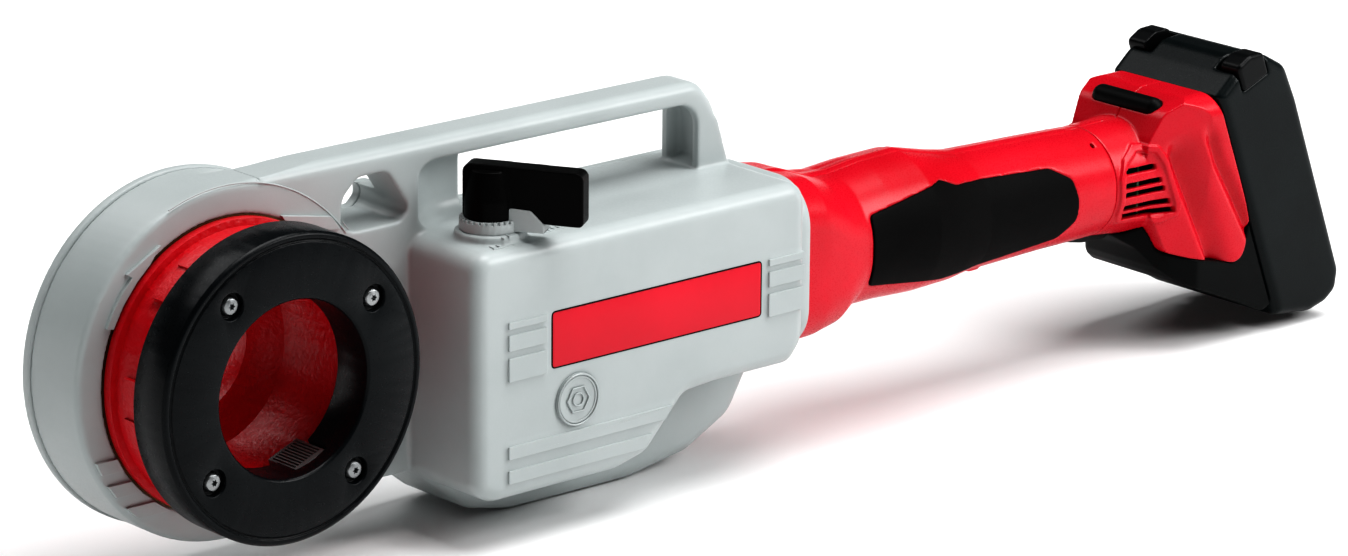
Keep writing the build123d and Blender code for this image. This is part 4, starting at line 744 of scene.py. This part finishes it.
barrel = nodes["motor_housing_near"].data
barrel_skin = BVHTree.FromPolygons([v.co for v in barrel.vertices], [p.vertices for p in barrel.polygons])
SPINE_GROOVE = 0.35
rings = []
stations = range(int(barrel_low.x) + 12, int(barrel_high.x) - 2, 4)
for number, x in enumerate(stations):
    level = level_at(barrel_skin, x, -0.8)
    from_end = min(number, len(stations) - 1 - number)
    top = level + (0.55 if from_end > 1 else (0.3 if from_end else -0.4))
    wide = 5.2 if from_end else 4.6
    near_half = [(-wide, level - 1.6), (-wide + 0.5, top - 0.55), (-wide + 1.0, top - 0.25), (-SPINE_GROOVE, top)]
    far_half = [(-y, z) for y, z in near_half[::-1]]
    rings.append([(x, y, z) for y, z in near_half + [(0, top - SPINE_GROOVE)] + far_half])
finish_piece(loft_rings("barrel_spine", rings, caps=True), "housing_red")

# ---------------------------------------------------------------- floor, light and camera
low, high = Vector(cad_box[0]), Vector(cad_box[1])
centre = (low + high) / 2

FLOOR_HALF = 30.0
floor_mesh = bpy.data.meshes.new("floor")
corners = [(-FLOOR_HALF, -FLOOR_HALF), (FLOOR_HALF, -FLOOR_HALF), (FLOOR_HALF, FLOOR_HALF), (-FLOOR_HALF, FLOOR_HALF)]
floor_mesh.from_pydata([(x, y, low.z) for x, y in corners], [], [(0, 1, 2, 3)])
floor = add_object("floor", floor_mesh)
floor.data.materials.append(
    textured("floor_paper", (0.82, 0.82, 0.82), (0.83, 0.83, 0.83), (0.8, 0.95), grain=40, bump=0.02)
)


def area_light(name, power, size, azimuth, elevation, distance):
    """A soft light that points at the middle of the object. Azimuth 0 is in front of it; angles in degrees."""
    data = bpy.data.lights.new(name, "AREA")
    data.energy = power
    data.shape = "RECTANGLE"
    data.size, data.size_y = size
    light = add_object(name, data)
    turn, rise = math.radians(azimuth), math.radians(elevation)
    direction = Vector((math.sin(turn) * math.cos(rise), -math.cos(turn) * math.cos(rise), math.sin(rise)))
    light.location = centre + direction * distance
    light.rotation_euler = direction.to_track_quat("Z", "Y").to_euler()


area_light("key", 25, (1.1, 0.9), 40, 34, 2.0)
area_light("back", 15, (1.6, 1.2), -160, 52, 2.4)
overhead_data = bpy.data.lights.new("overhead", "SUN")
overhead_data.energy = 2.7
overhead_data.angle = math.radians(40)
overhead = add_object("overhead", overhead_data)
overhead.rotation_euler = (math.radians(8), math.radians(14), 0)

world = bpy.data.worlds.new("studio")
bpy.context.scene.world = world
world.use_nodes = True
sky = world.node_tree
backdrop = sky.nodes["Background"]
backdrop.inputs["Color"].default_value = (1, 1, 1, 1)
# a white backdrop just above the floor's horizon, and a dim room over it
BACKDROP_TOP, BACKDROP_FADE = 0.07, 0.13
BACKDROP_STRENGTH, ROOM_STRENGTH = 1.15, 0.045
toward = sky.nodes.new("ShaderNodeTexCoord")
split = sky.nodes.new("ShaderNodeSeparateXYZ")
band = sky.nodes.new("ShaderNodeMapRange")
band.inputs["From Min"].default_value = BACKDROP_TOP
band.inputs["From Max"].default_value = BACKDROP_FADE
band.inputs["To Min"].default_value = BACKDROP_STRENGTH
band.inputs["To Max"].default_value = ROOM_STRENGTH
sky.links.new(toward.outputs["Generated"], split.inputs["Vector"])
sky.links.new(split.outputs["Z"], band.inputs["Value"])
sky.links.new(band.outputs["Result"], backdrop.inputs["Strength"])

scene = bpy.context.scene
scene.view_settings.view_transform = "Standard"
scene.view_settings.look = "High Contrast"
scene.view_settings.exposure = -0.16
camera_data = bpy.data.cameras.new("camera")
camera_data.lens = 146
camera_data.sensor_width = 36
camera_data.clip_end = 100
camera = add_object("camera", camera_data)
AZIMUTH, ELEVATION, ROLL = math.radians(-41.5), math.radians(16.61), math.radians(0.5)
AIM = Vector((0.1367, -0.1472, 0.0496))
DISTANCE = 2.4521
back = Vector((
    math.sin(AZIMUTH) * math.cos(ELEVATION), -math.cos(AZIMUTH) * math.cos(ELEVATION), math.sin(ELEVATION),
))
right = Vector((0, 0, 1)).cross(back).normalized()
up = back.cross(right)
right, up = (
    right * math.cos(ROLL) + up * math.sin(ROLL),
    up * math.cos(ROLL) - right * math.sin(ROLL),
)
camera.matrix_world = Matrix.Translation(AIM + back * DISTANCE) @ Matrix((right, up, back)).transposed().to_4x4()
scene.camera = camera
